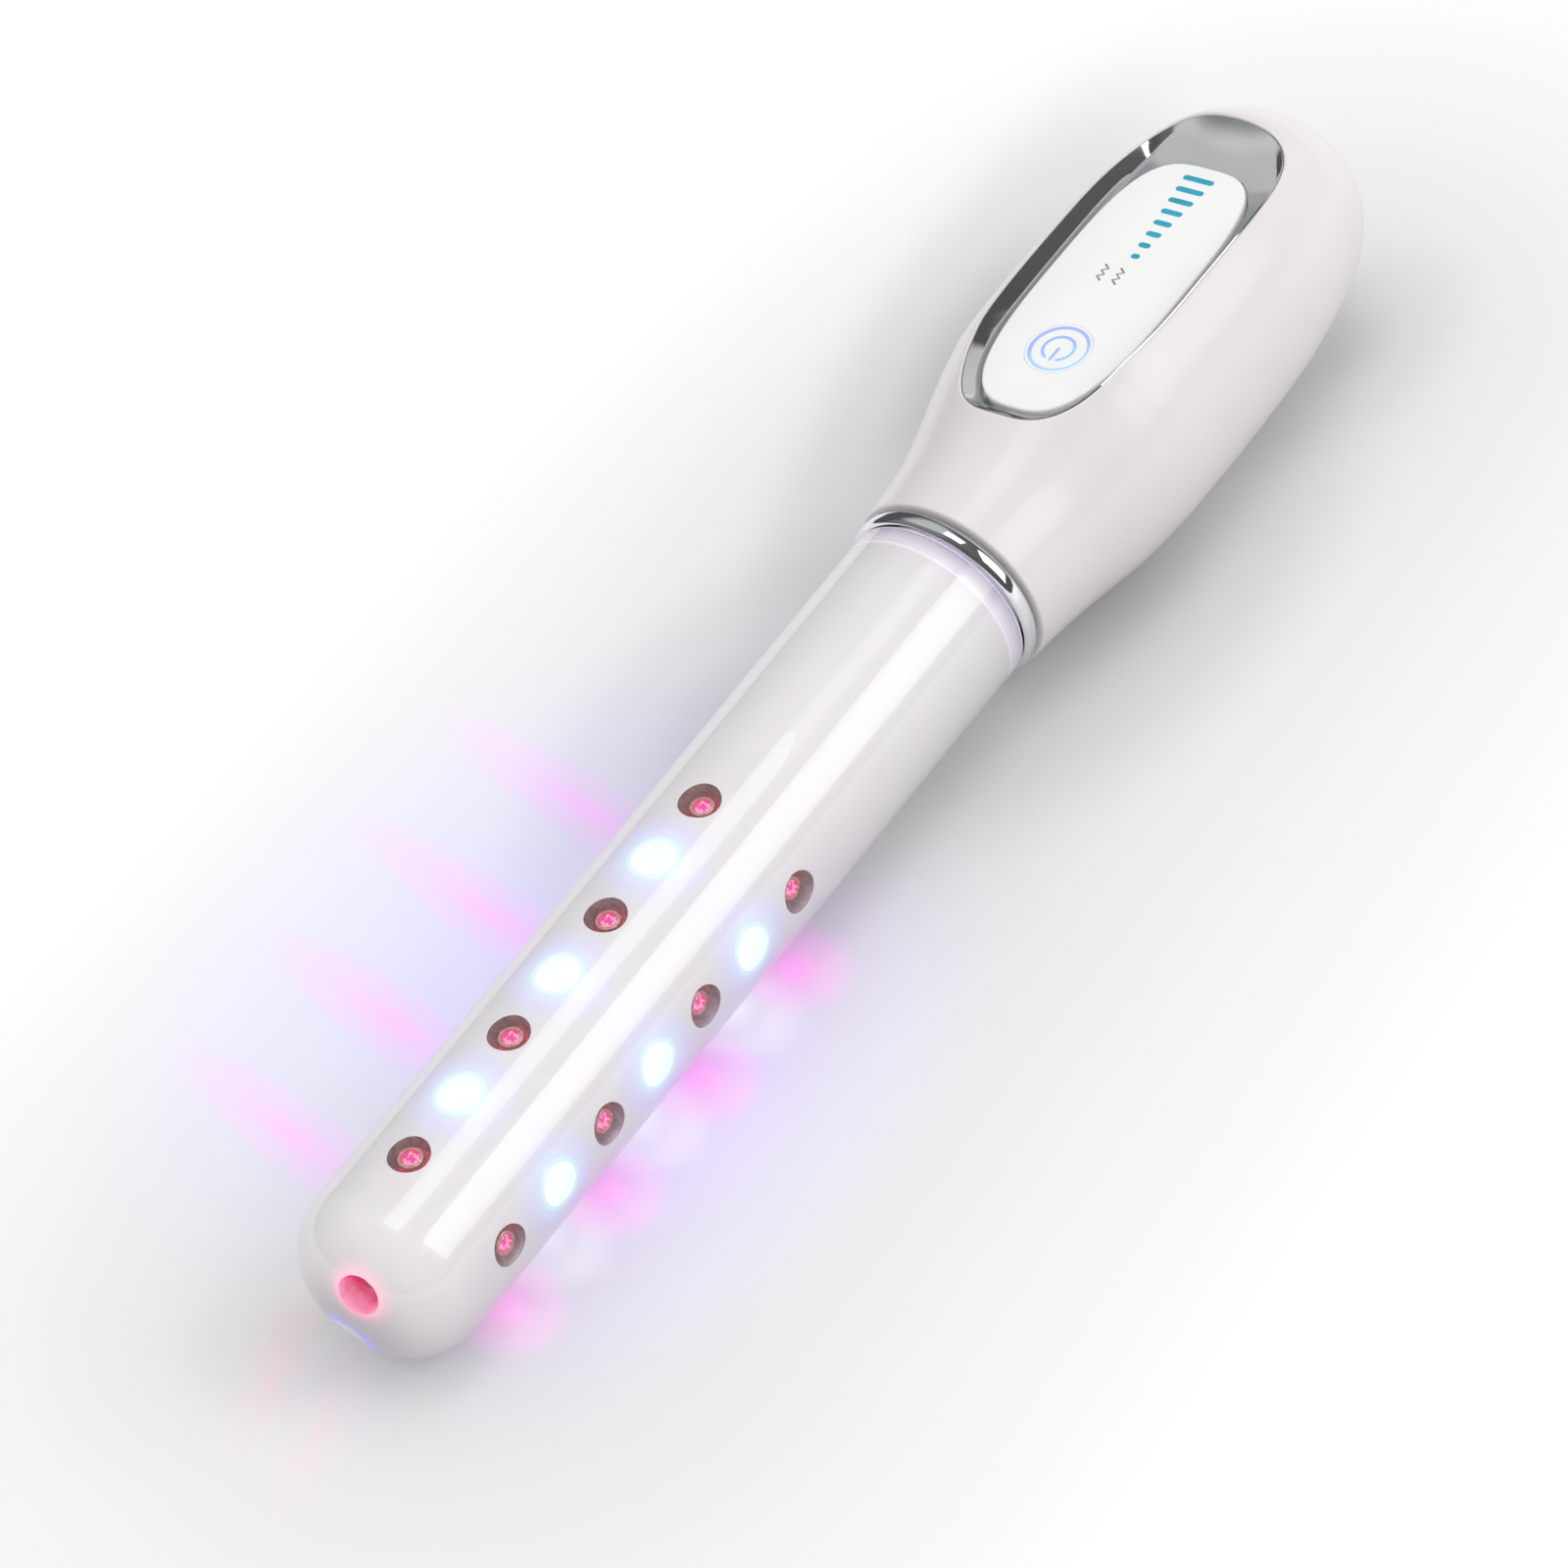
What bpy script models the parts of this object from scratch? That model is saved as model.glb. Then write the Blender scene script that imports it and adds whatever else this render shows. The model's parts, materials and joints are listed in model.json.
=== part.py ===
"""Cold laser therapy wand: a clear domed sleeve over a white windowed core, with a club-shaped handle.

The wand is drawn in its own frame: +X runs along the axis from the tip to the butt, +Z leaves the
control panel, and the tip of the sleeve is at x = 0. The whole wand hangs on one empty, which lays it
on the floor: the dome touches the floor, and a small flat on the handle's belly rests on it.
"""

import math

import bmesh
import bpy
from mathutils import Matrix, Vector

MM = 0.001

# Whole wand
TOTAL_LENGTH = 233.5 * MM
GAP = 0.3 * MM
OVERRUN = 2.0 * MM
ROUND_SEGMENTS = 36
BORE_SEGMENTS = 20
WINDOW_SEGMENTS = 12
SMALL_SEGMENTS = 10
DIODE_SEGMENTS = 8
SECTION_SEGMENTS = 6
DOME_STEPS = 6
LENS_STEPS = 3
ROUND_STEPS = 2

# Clear sleeve. Its radius at the tip follows from the square tube, the boards, the diodes and the core in it
SLEEVE_FLARE = 0.9 * MM
SLEEVE_WALL = 1.4 * MM
DOME_DEPTH = 11.2 * MM
DOME_POWER = 2.3
BAND_WIDTH = 2.5 * MM
BAND_WALL = 3.1 * MM
SPIGOT_STEP = 0.95 * MM
SPIGOT_LENGTH = 10.8 * MM
SEAL_SECTION_RADIUS = 0.55 * MM
SEAL_FROM_SHOULDER = 6.0 * MM

# White core tube and its windows
CORE_WALL = 2.35 * MM
CORE_FRONT_WALL = 4.8 * MM
CORE_FLANGE_LENGTH = 2.0 * MM
WINDOW_FROM_TIP = 19.0 * MM
LASER_PITCH = 21.5 * MM
LASERS_PER_ROW = 4
ROW_NAMES = "abcd"
WINDOW_MOUTH_RADIUS = 3.3 * MM
WINDOW_THROAT_RADIUS = 2.4 * MM

# Diodes: metal-can lasers and moulded blue lights
LASER_BASE_RADIUS = 2.8 * MM
LASER_BASE_HEIGHT = 1.2 * MM
LASER_CAP_RADIUS = 1.75 * MM
LASER_CAP_HEIGHT = 2.2 * MM
LASER_EYE_RADIUS = 0.8 * MM
LASER_EYE_DEPTH = 0.3 * MM
LED_BASE_RADIUS = 2.1 * MM
LED_BASE_HEIGHT = 0.9 * MM
LED_LENS_RADIUS = 1.6 * MM
LED_LENS_HEIGHT = 2.4 * MM
DIODE_BORE_CLEARANCE = 0.8 * MM

# Diode boards and the square tube that carries them
STRIP_THICKNESS = 1.0 * MM
STRIP_WIDTH = 7.0 * MM
STRIP_MARGIN = 6.0 * MM
SPINE_WIDTH = 11.2 * MM
SPINE_BORE_RADIUS = 3.0 * MM
SPINE_CORNER = 1.0 * MM
SPINE_TAIL = 2.0 * MM

# Lights of the tip, on two sloping seats
TIP_ROW_DEG = 26.0
TIP_LIGHT_TILT_DEG = 18.0
TIP_LIGHT_OFFSET = 3.9 * MM
TIP_LIGHT_SETBACK = 1.3 * MM

# Vibration motor in the core
MOTOR_RADIUS = 6.0 * MM
MOTOR_LENGTH = 19.0 * MM
MOTOR_SETBACK = 1.5 * MM
BUSH_LENGTH = 17.0 * MM
SHAFT_RADIUS = 1.0 * MM
SHAFT_SEAT = 6.0 * MM
WEIGHT_RADIUS = 5.6 * MM
WEIGHT_HUB_RADIUS = 2.0 * MM
WEIGHT_LENGTH = 6.0 * MM
WEIGHT_STANDOFF = 1.5 * MM

# Chrome ring
RING_WIDTH = 2.8 * MM
RING_PROUD = 0.65 * MM
RING_ROUND = 0.7 * MM

# Handle, which is sized round its cell: the room beside the cell takes the board, the switch, the panel
# and the walls. Its stations are shares of its length, its radius and its lift towards the panel
NECK_TO_RIM = 17.8 * MM
RIM_TO_BUTT = 12.0 * MM
HANDLE_ROOM = 13.85 * MM
HANDLE_LIFT = 1.5 * MM
HANDLE_WALL = 2.2 * MM
HANDLE_EDGE = 0.35 * MM
END_WALL = 4.0 * MM
NECK_LENGTH = 11.2 * MM
BELLY_FLAT_DEPTH = 0.5 * MM
HANDLE_STATIONS_SHARES = (
    (0.000, 0.728, 0.00),
    (0.060, 0.752, -0.10),
    (0.125, 0.790, -0.20),
    (0.190, 0.852, -0.05),
    (0.250, 0.915, 0.25),
    (0.310, 0.962, 0.70),
    (0.380, 0.993, 1.00),
    (0.565, 1.000, 1.00),
    (0.720, 0.971, 1.00),
    (0.860, 0.860, 0.75),
    (0.930, 0.720, 0.30),
    (0.970, 0.575, 0.00),
    (1.000, 0.385, -0.20),
)
STATION_STEPS = 2

# Panel: the rim of the opening on the handle, the chrome frame in it and the plate in the frame
RIM_NEAR_MARGIN = 3.5 * MM
RIM_FAR_MARGIN = 8.1 * MM
RIM_SIDE_MARGIN = 2.4 * MM
RIM_NEAR_POWER = 3.0
RIM_FAR_POWER = 3.8
OUTLINE_POINTS = 44
LEDGE_WIDTH = 1.5 * MM
DECK_THICKNESS = 1.4 * MM
BEZEL_LAND = 0.5 * MM
BEZEL_FLANGE_WIDTH = 1.2 * MM
BEZEL_FLANGE_THICKNESS = 1.0 * MM
SCOOP_WIDTH_SHARE = 0.45
SCOOP_DEPTH_SHARE = 0.62
PANEL_SINK = 6.9 * MM
PANEL_LENGTH = 52.8 * MM
PANEL_WIDTH = 21.8 * MM
PANEL_THICKNESS = 1.5 * MM
PANEL_NEAR_POWER = 2.8
PANEL_FAR_POWER = 3.5

# Power button, its light guide and the switch under it
BUTTON_FROM_PANEL_END = 12.5 * MM
BUTTON_RADIUS = 4.1 * MM
BUTTON_EDGE = 0.25 * MM
BUTTON_TRAVEL = 0.5 * MM
BUTTON_FLANGE_WIDTH = 0.9 * MM
BUTTON_FLANGE_THICKNESS = 0.8 * MM
STEM_RADIUS = 1.4 * MM
STEM_LENGTH = 0.4 * MM
GUIDE_WIDTH = 0.55 * MM
GUIDE_FLANGE_WIDTH = 1.5 * MM
GUIDE_FLANGE_THICKNESS = 0.8 * MM
PLUNGER_RADIUS = 1.4 * MM
PLUNGER_PROUD = 0.9 * MM
PLUNGER_SEAT = 1.0 * MM
SWITCH_SIDE = 6.0 * MM
SWITCH_HEIGHT = 2.4 * MM

# Driver board, its screws, the cell and its housing
BOARD_END_MARGIN = 2.0 * MM
BOARD_SIDE_MARGIN = 0.7 * MM
BOARD_THICKNESS = 1.6 * MM
SCREW_SHANK_RADIUS = 0.8 * MM
SCREW_HEAD_RADIUS = 1.6 * MM
SCREW_HEAD_HEIGHT = 1.1 * MM
SCREW_LENGTH = 5.0 * MM
SCREW_INSET = 2.6 * MM
CELL_RADIUS = 7.05 * MM
CELL_LENGTH = 49.0 * MM
CELL_POLE_RADIUS = 2.8 * MM
CELL_POLE_HEIGHT = 1.2 * MM
HOUSING_END_MARGIN = 1.5 * MM
HOUSING_WALL = 1.5 * MM
HOUSING_DECK = 2.0 * MM

# Charging inlet in the flat end of the handle
INLET_RADIUS = 6.0 * MM
INLET_FLANGE_WIDTH = 1.5 * MM
INLET_FLANGE_THICKNESS = 1.2 * MM
PIN_RADIUS = 1.2 * MM
PIN_SPACING = 5.2 * MM
PIN_FLANGE_WIDTH = 0.7 * MM
PIN_FLANGE_THICKNESS = 0.9 * MM
PIN_TAIL = 1.5 * MM

# Sizes and places that follow from those above
SPINE_HALF = SPINE_WIDTH / 2
STRIP_TOP = SPINE_HALF + GAP + STRIP_THICKNESS
LASER_SEAT = STRIP_TOP + GAP
CORE_BORE_RADIUS = LASER_SEAT + LASER_BASE_HEIGHT + DIODE_BORE_CLEARANCE
CORE_INSET = SLEEVE_WALL + GAP
SLEEVE_TIP_RADIUS = CORE_BORE_RADIUS + CORE_WALL + CORE_INSET
SLEEVE_END_RADIUS = SLEEVE_TIP_RADIUS + SLEEVE_FLARE
RING_RADIUS = SLEEVE_END_RADIUS + RING_PROUD
HANDLE_RADIUS = CELL_RADIUS + HANDLE_ROOM
RIM_LENGTH = RIM_NEAR_MARGIN + PANEL_LENGTH + RIM_FAR_MARGIN
RIM_WIDTH = PANEL_WIDTH + 2 * RIM_SIDE_MARGIN
HANDLE_LENGTH = NECK_TO_RIM + RIM_LENGTH + RIM_TO_BUTT
HOUSING_LENGTH = CELL_LENGTH + 2 * HOUSING_END_MARGIN
BOARD_LENGTH = HOUSING_LENGTH - 2 * BOARD_END_MARGIN
BOARD_WIDTH = PANEL_WIDTH - 2 * BOARD_SIDE_MARGIN
HANDLE_START = TOTAL_LENGTH - HANDLE_LENGTH
RING_START = HANDLE_START - GAP - RING_WIDTH
SHOULDER = RING_START - GAP
BAND_START = SHOULDER - BAND_WIDTH
SLEEVE_END = SHOULDER + SPIGOT_LENGTH
SPIGOT_RADIUS = SLEEVE_END_RADIUS - SPIGOT_STEP
NECK_BORE_RADIUS = SPIGOT_RADIUS + GAP
BAND_BORE_RADIUS = SLEEVE_END_RADIUS - BAND_WALL
CORE_BORE_FRONT = CORE_INSET + CORE_FRONT_WALL
CORE_END = SLEEVE_END + GAP + CORE_FLANGE_LENGTH
SEAL_X = SHOULDER + SEAL_FROM_SHOULDER
CAVITY_START = HANDLE_START + NECK_LENGTH
CAVITY_END = TOTAL_LENGTH - END_WALL
LAST_WINDOW = WINDOW_FROM_TIP + LASER_PITCH * (LASERS_PER_ROW - 1)
STRIP_START = WINDOW_FROM_TIP - STRIP_MARGIN
STRIP_END = LAST_WINDOW + STRIP_MARGIN
SPINE_END = STRIP_END + SPINE_TAIL
BUSH_START = SPINE_END + GAP
MOTOR_START = BUSH_START + MOTOR_SETBACK
MOTOR_END = MOTOR_START + MOTOR_LENGTH
RIM_START = HANDLE_START + NECK_TO_RIM
RIM_CENTRE = RIM_START + RIM_LENGTH / 2
PANEL_START = RIM_START + RIM_NEAR_MARGIN
PANEL_CENTRE = PANEL_START + PANEL_LENGTH / 2
BUTTON_X = PANEL_START + BUTTON_FROM_PANEL_END
PANEL_TOP = HANDLE_RADIUS + HANDLE_LIFT - PANEL_SINK
PANEL_BOTTOM = PANEL_TOP - PANEL_THICKNESS
BEZEL_FLANGE_TOP = PANEL_BOTTOM - GAP
BEZEL_BOTTOM = BEZEL_FLANGE_TOP - BEZEL_FLANGE_THICKNESS
DECK_TOP = BEZEL_BOTTOM - GAP
CAVITY_ROOF = DECK_TOP - DECK_THICKNESS
GUIDE_RADIUS = BUTTON_RADIUS + GAP
GUIDE_FLANGE_TOP = PANEL_BOTTOM - GAP
GUIDE_BOTTOM = GUIDE_FLANGE_TOP - GUIDE_FLANGE_THICKNESS
BUTTON_FLANGE_TOP = GUIDE_BOTTOM - GAP
BUTTON_FLANGE_BOTTOM = BUTTON_FLANGE_TOP - BUTTON_FLANGE_THICKNESS
STEM_BOTTOM = BUTTON_FLANGE_BOTTOM - STEM_LENGTH
PLUNGER_TOP = STEM_BOTTOM - GAP
SWITCH_TOP = PLUNGER_TOP - PLUNGER_PROUD
SWITCH_BOTTOM = SWITCH_TOP - SWITCH_HEIGHT
BOARD_TOP = SWITCH_BOTTOM - GAP
BOARD_BOTTOM = BOARD_TOP - BOARD_THICKNESS
HOUSING_TOP = BOARD_BOTTOM - GAP
TUNNEL_RADIUS = CELL_RADIUS + GAP
HOUSING_HALF = TUNNEL_RADIUS + HOUSING_WALL


# Shape tools


def spline(points, steps):
    """Smooth curve through the points, with so many steps from each to the next."""
    padded = [2 * points[0] - points[1], *points, 2 * points[-1] - points[-2]]
    curve = []
    for before, start, end, after in zip(padded, padded[1:], padded[2:], padded[3:]):
        for step in range(steps):
            t = step / steps
            bend = 2 * before - 5 * start + 4 * end - after
            twist = 3 * start - before - 3 * end + after
            curve.append((2 * start + (end - before) * t + bend * t**2 + twist * t**3) / 2)
    curve.append(points[-1])
    return curve


def ring(x, radius, count, lift=0.0):
    """Circle of points round the axis, first point towards the panel. A radius of zero gives a pole."""
    if radius == 0:
        return [Vector((x, 0, lift))]
    turns = [2 * math.pi * i / count for i in range(count)]
    return [Vector((x, radius * math.sin(turn), lift + radius * math.cos(turn))) for turn in turns]


def bridge(bm, first, second):
    """Faces between two rings of vertices, where a pole is a ring of one."""
    count = max(len(first), len(second))
    for i in range(count):
        j = (i + 1) % count
        corners = [first[i % len(first)], first[j % len(first)]]
        corners += [second[j % len(second)], second[i % len(second)]]
        corners = list(dict.fromkeys(corners))
        if len(corners) > 2:
            bm.faces.new(corners)


def skin(rings, looped=False):
    """Closed mesh through rings of points. A looped skin joins its last ring to its first."""
    bm = bmesh.new()
    layers = [[bm.verts.new(point) for point in points] for points in rings]
    for first, second in zip(layers, layers[1:]):
        bridge(bm, first, second)
    if looped:
        bridge(bm, layers[-1], layers[0])
    else:
        for end in (layers[0], layers[-1]):
            if len(end) > 1:
                bm.faces.new(end)
    bmesh.ops.recalc_face_normals(bm, faces=bm.faces)
    return bm


def turned(profile, count, looped=False):
    """Solid turned about the X axis from (x, radius) pairs."""
    return skin([ring(x, radius, count) for x, radius in profile], looped)


def rod(start, end, radius, count):
    """Solid rod along the X axis."""
    return turned([(start, 0), (start, radius), (end, radius), (end, 0)], count)


def extruded(outline, push):
    """Prism of a closed outline, pushed along a vector."""
    return skin([outline, [point + push for point in outline]])


def block(low, high):
    """Box between two corners."""
    corners = ((low[0], low[1]), (high[0], low[1]), (high[0], high[1]), (low[0], high[1]))
    return extruded([Vector((x, y, low[2])) for x, y in corners], Vector((0, 0, high[2] - low[2])))


def upright(bm, x, y=0.0):
    """Turns a solid drawn along +X until it points along +Z, over a point (x, y)."""
    place = Matrix.Translation((x, y, 0)) @ Matrix.Rotation(-math.pi / 2, 4, "Y")
    bmesh.ops.transform(bm, matrix=place, verts=bm.verts)
    return bm


def merged(shapes):
    """One mesh that holds several separate shapes, for a cutter."""
    whole = bmesh.new()
    for shape in shapes:
        part = bpy.data.meshes.new("part")
        shape.to_mesh(part)
        shape.free()
        whole.from_mesh(part)
        bpy.data.meshes.remove(part)
    return whole


def make_finish(name, colour, roughness, metallic=0.0, alpha=1.0):
    """Principled material of one piece."""
    material = bpy.data.materials.new(name)
    material.use_nodes = True
    shader = material.node_tree.nodes["Principled BSDF"]
    shader.inputs["Base Color"].default_value = (*colour, 1.0)
    shader.inputs["Roughness"].default_value = roughness
    shader.inputs["Metallic"].default_value = metallic
    shader.inputs["Alpha"].default_value = alpha
    return material


def make_mesh(name, bm, material, sharp_deg=35.0):
    """Mesh shaded smooth, but for edges sharper than the angle."""
    mesh = bpy.data.meshes.new(name)
    bm.to_mesh(mesh)
    bm.free()
    mesh.shade_smooth()
    mesh.set_sharp_from_angle(angle=math.radians(sharp_deg))
    if material:
        mesh.materials.append(material)
    return mesh


def place(name, mesh, wand, matrix=None):
    """Object of the wand, set in the wand's frame."""
    obj = bpy.data.objects.new(name, mesh)
    bpy.context.scene.collection.objects.link(obj)
    obj.parent = wand
    if matrix is not None:
        obj.matrix_local = matrix
    return obj


def subtract(target, name, bm, wand):
    """Cuts a shape out of a piece."""
    cutter = place(name, make_mesh(name, bm, None), wand)
    cutter.hide_render = True
    cutter.display_type = "WIRE"
    cut = target.modifiers.new(name, "BOOLEAN")
    cut.operation = "DIFFERENCE"
    cut.solver = "EXACT"
    cut.object = cutter


# Curves that several pieces share


def dome(inset, steps=DOME_STEPS):
    """Profile of the blunt tip, drawn in from the sleeve's outside by the inset, pole first."""
    depth = DOME_DEPTH - inset
    radius = SLEEVE_TIP_RADIUS - inset
    points = []
    for step in range(steps + 1):
        turn = math.pi / 2 * step / steps
        along = 1 - math.cos(turn) ** (2 / DOME_POWER) if step < steps else 1
        out = math.sin(turn) ** (2 / DOME_POWER)
        points.append((inset + depth * along, radius * out))
    return points


def sleeve_radius(x):
    """Outer radius of the sleeve behind its dome."""
    share = (x - DOME_DEPTH) / (SHOULDER - DOME_DEPTH)
    return SLEEVE_TIP_RADIUS + (SLEEVE_END_RADIUS - SLEEVE_TIP_RADIUS) * share


def handle_curve():
    """Stations of the handle as (x, radius, lift) vectors on one smooth curve."""
    stations = [
        Vector((HANDLE_START + along * HANDLE_LENGTH, size * HANDLE_RADIUS, lift * HANDLE_LIFT))
        for along, size, lift in HANDLE_STATIONS_SHARES
    ]
    return spline(stations, STATION_STEPS)


def handle_at(x, curve):
    """Radius and lift of the handle at one place along it."""
    for start, end in zip(curve, curve[1:]):
        if x <= end.x:
            break
    share = min(max((x - start.x) / (end.x - start.x), 0), 1)
    return start.y + (end.y - start.y) * share, start.z + (end.z - start.z) * share


def cavity_floor(x, curve):
    """Height of the lowest line inside the handle."""
    radius, lift = handle_at(x, curve)
    return lift - radius + HANDLE_WALL


def handle_top(x, y, curve):
    """Height of the handle's surface on the panel's side."""
    radius, lift = handle_at(x, curve)
    return lift + math.sqrt(radius**2 - y**2)


def rounded_outline(centre, length, width, near_power, far_power):
    """Rounded outline from its end near the sleeve. A higher power makes an end blunter."""
    points = []
    for i in range(OUTLINE_POINTS):
        turn = 2 * math.pi * i / OUTLINE_POINTS
        power = near_power if math.cos(turn) > 0 else far_power
        along = math.copysign(abs(math.cos(turn)) ** (2 / power), math.cos(turn))
        aside = math.copysign(abs(math.sin(turn)) ** (2 / power), math.sin(turn))
        points.append(Vector((centre - length / 2 * along, width / 2 * aside, 0)))
    return points


def rim_outline():
    return rounded_outline(RIM_CENTRE, RIM_LENGTH, RIM_WIDTH, RIM_NEAR_POWER, RIM_FAR_POWER)


def panel_outline():
    return rounded_outline(PANEL_CENTRE, PANEL_LENGTH, PANEL_WIDTH, PANEL_NEAR_POWER, PANEL_FAR_POWER)


def inset(outline, distance):
    """Outline drawn in by a distance, or out by a negative one."""
    drawn = []
    for before, point, after in zip([outline[-1], *outline], outline, [*outline[1:], outline[0]]):
        way = (after - before).normalized()
        drawn.append(point + distance * Vector((way.y, -way.x, 0)))
    return drawn


def at_height(outline, height):
    """Outline lifted to one height."""
    return [Vector((p.x, p.y, height)) for p in outline]


def on_handle(outline, curve):
    """Outline laid on the handle's surface."""
    return [Vector((p.x, p.y, handle_top(p.x, p.y, curve))) for p in outline]


def row_matrix(azimuth_deg, x, height):
    """Place of a diode drawn along +X that looks outwards at an angle from the panel's side."""
    azimuth = math.radians(azimuth_deg)
    out = Vector((0, -math.sin(azimuth), math.cos(azimuth)))
    along = Vector((1, 0, 0))
    aside = along.cross(out)
    turn = Matrix((out, aside, along)).transposed().to_4x4()
    return Matrix.Translation(Vector((x, 0, 0)) + out * height) @ turn


def tip_matrix(side, back):
    """Place of a light of the tip, drawn along +X: side is 1 for the red one and -1 for the blue one."""
    azimuth = math.radians(TIP_ROW_DEG)
    tilt = math.radians(TIP_LIGHT_TILT_DEG)
    across = side * Vector((0, -math.sin(azimuth), math.cos(azimuth)))
    out = Vector((-math.cos(tilt), 0, 0)) + across * math.sin(tilt)
    aside = out.cross(across).normalized()
    turn = Matrix((out, aside, out.cross(aside))).transposed().to_4x4()
    seat = Vector((CORE_BORE_FRONT, 0, 0)) + across * TIP_LIGHT_OFFSET
    return Matrix.Translation(seat - out * back) @ turn


# Front end: sleeve, core and lights


def sleeve_shape():
    groove_half = SEAL_SECTION_RADIUS + GAP
    groove_radius = SPIGOT_RADIUS - 2 * SEAL_SECTION_RADIUS - GAP
    outside = dome(0)
    outside += [(SHOULDER, SLEEVE_END_RADIUS), (SHOULDER, SPIGOT_RADIUS)]
    outside += [(SEAL_X - groove_half, SPIGOT_RADIUS), (SEAL_X - groove_half, groove_radius)]
    outside += [(SEAL_X + groove_half, groove_radius), (SEAL_X + groove_half, SPIGOT_RADIUS)]
    outside += [(SLEEVE_END, SPIGOT_RADIUS), (SLEEVE_END, BAND_BORE_RADIUS)]
    step = BAND_START + GAP
    inside = [(step, BAND_BORE_RADIUS), (step, sleeve_radius(step) - SLEEVE_WALL)]
    inside += reversed(dome(SLEEVE_WALL))
    return turned(outside + inside, ROUND_SEGMENTS)


def core_shape():
    spigot = BAND_BORE_RADIUS - GAP
    flange = NECK_BORE_RADIUS - GAP
    profile = dome(CORE_INSET)
    profile += [(BAND_START, sleeve_radius(BAND_START) - CORE_INSET), (BAND_START, spigot)]
    profile += [(SLEEVE_END + GAP, spigot), (SLEEVE_END + GAP, flange), (CORE_END, flange)]
    profile += [(CORE_END, CORE_BORE_RADIUS), (CORE_BORE_FRONT, CORE_BORE_RADIUS), (CORE_BORE_FRONT, 0)]
    return turned(profile, ROUND_SEGMENTS)


def window_cone(depth):
    """Cutter of one window, drawn along +X from the bore to past the mouth."""
    slope = (WINDOW_MOUTH_RADIUS - WINDOW_THROAT_RADIUS) / depth
    ends = (-OVERRUN, depth + OVERRUN)
    return skin([ring(x, WINDOW_THROAT_RADIUS + slope * x, WINDOW_SEGMENTS) for x in ends])


def window_cutters():
    cones = []
    for row in range(len(ROW_NAMES)):
        for half_step in range(2 * LASERS_PER_ROW - 1):
            cone = window_cone(CORE_WALL)
            x = WINDOW_FROM_TIP + LASER_PITCH * half_step / 2
            matrix = row_matrix(360 / len(ROW_NAMES) * row, x, CORE_BORE_RADIUS)
            bmesh.ops.transform(cone, matrix=matrix, verts=cone.verts)
            cones.append(cone)
    for side in (1, -1):
        cone = window_cone(CORE_FRONT_WALL)
        bmesh.ops.transform(cone, matrix=tip_matrix(side, 0), verts=cone.verts)
        cones.append(cone)
    return merged(cones)


def laser_shape():
    top = LASER_BASE_HEIGHT + LASER_CAP_HEIGHT
    edge = LASER_CAP_RADIUS - LASER_EYE_DEPTH
    profile = [(0, 0), (0, LASER_BASE_RADIUS), (LASER_BASE_HEIGHT, LASER_BASE_RADIUS)]
    eye = top - LASER_EYE_DEPTH
    profile += [(LASER_BASE_HEIGHT, LASER_CAP_RADIUS), (eye, LASER_CAP_RADIUS), (top, edge)]
    profile += [(top, LASER_EYE_RADIUS), (eye, LASER_EYE_RADIUS), (eye, 0)]
    return turned(profile, DIODE_SEGMENTS)


def led_shape():
    profile = [(0, 0), (0, LED_BASE_RADIUS), (LED_BASE_HEIGHT, LED_BASE_RADIUS)]
    shaft = LED_LENS_HEIGHT - LED_LENS_RADIUS
    profile.append((LED_BASE_HEIGHT, LED_LENS_RADIUS))
    for step in range(LENS_STEPS):
        turn = math.pi / 2 * step / LENS_STEPS
        height = LED_BASE_HEIGHT + shaft + LED_LENS_RADIUS * math.sin(turn)
        profile.append((height, LED_LENS_RADIUS * math.cos(turn)))
    profile.append((LED_BASE_HEIGHT + LED_LENS_HEIGHT, 0))
    return turned(profile, DIODE_SEGMENTS)


def spine_shape():
    """Square tube with cut corners and a round bore."""
    half = SPINE_HALF
    cut = SPINE_HALF - SPINE_CORNER
    corners = [(cut, half), (half, cut), (half, -cut), (cut, -half)]
    corners += [(-cut, -half), (-half, -cut), (-half, cut), (-cut, half)]
    outer = [Vector((STRIP_START, y, z)) for y, z in corners]
    bore = [Vector(corner).normalized() * SPINE_BORE_RADIUS for corner in corners]
    inner = [Vector((STRIP_START, y, z)) for y, z in bore]
    along = Vector((SPINE_END - STRIP_START, 0, 0))
    return skin([outer, [p + along for p in outer], [p + along for p in inner], inner], looped=True)


def strip_shape():
    """Strip board under a row, drawn for the row on the panel's side."""
    low = (STRIP_START, -STRIP_WIDTH / 2, STRIP_TOP - STRIP_THICKNESS)
    return block(low, (STRIP_END, STRIP_WIDTH / 2, STRIP_TOP))


def holder_shape():
    return rod(CORE_BORE_FRONT + GAP, STRIP_START - GAP, CORE_BORE_RADIUS - GAP, BORE_SEGMENTS)


def holder_seats():
    """Cutters of the two sloping seats: all that lies in front of each light's base."""
    reach = 2 * CORE_BORE_RADIUS
    seats = []
    for side in (1, -1):
        seat = block((-GAP, -reach, -reach), (reach, reach, reach))
        matrix = tip_matrix(side, TIP_LIGHT_SETBACK + LASER_BASE_HEIGHT)
        bmesh.ops.transform(seat, matrix=matrix, verts=seat.verts)
        seats.append(seat)
    return seats


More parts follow.
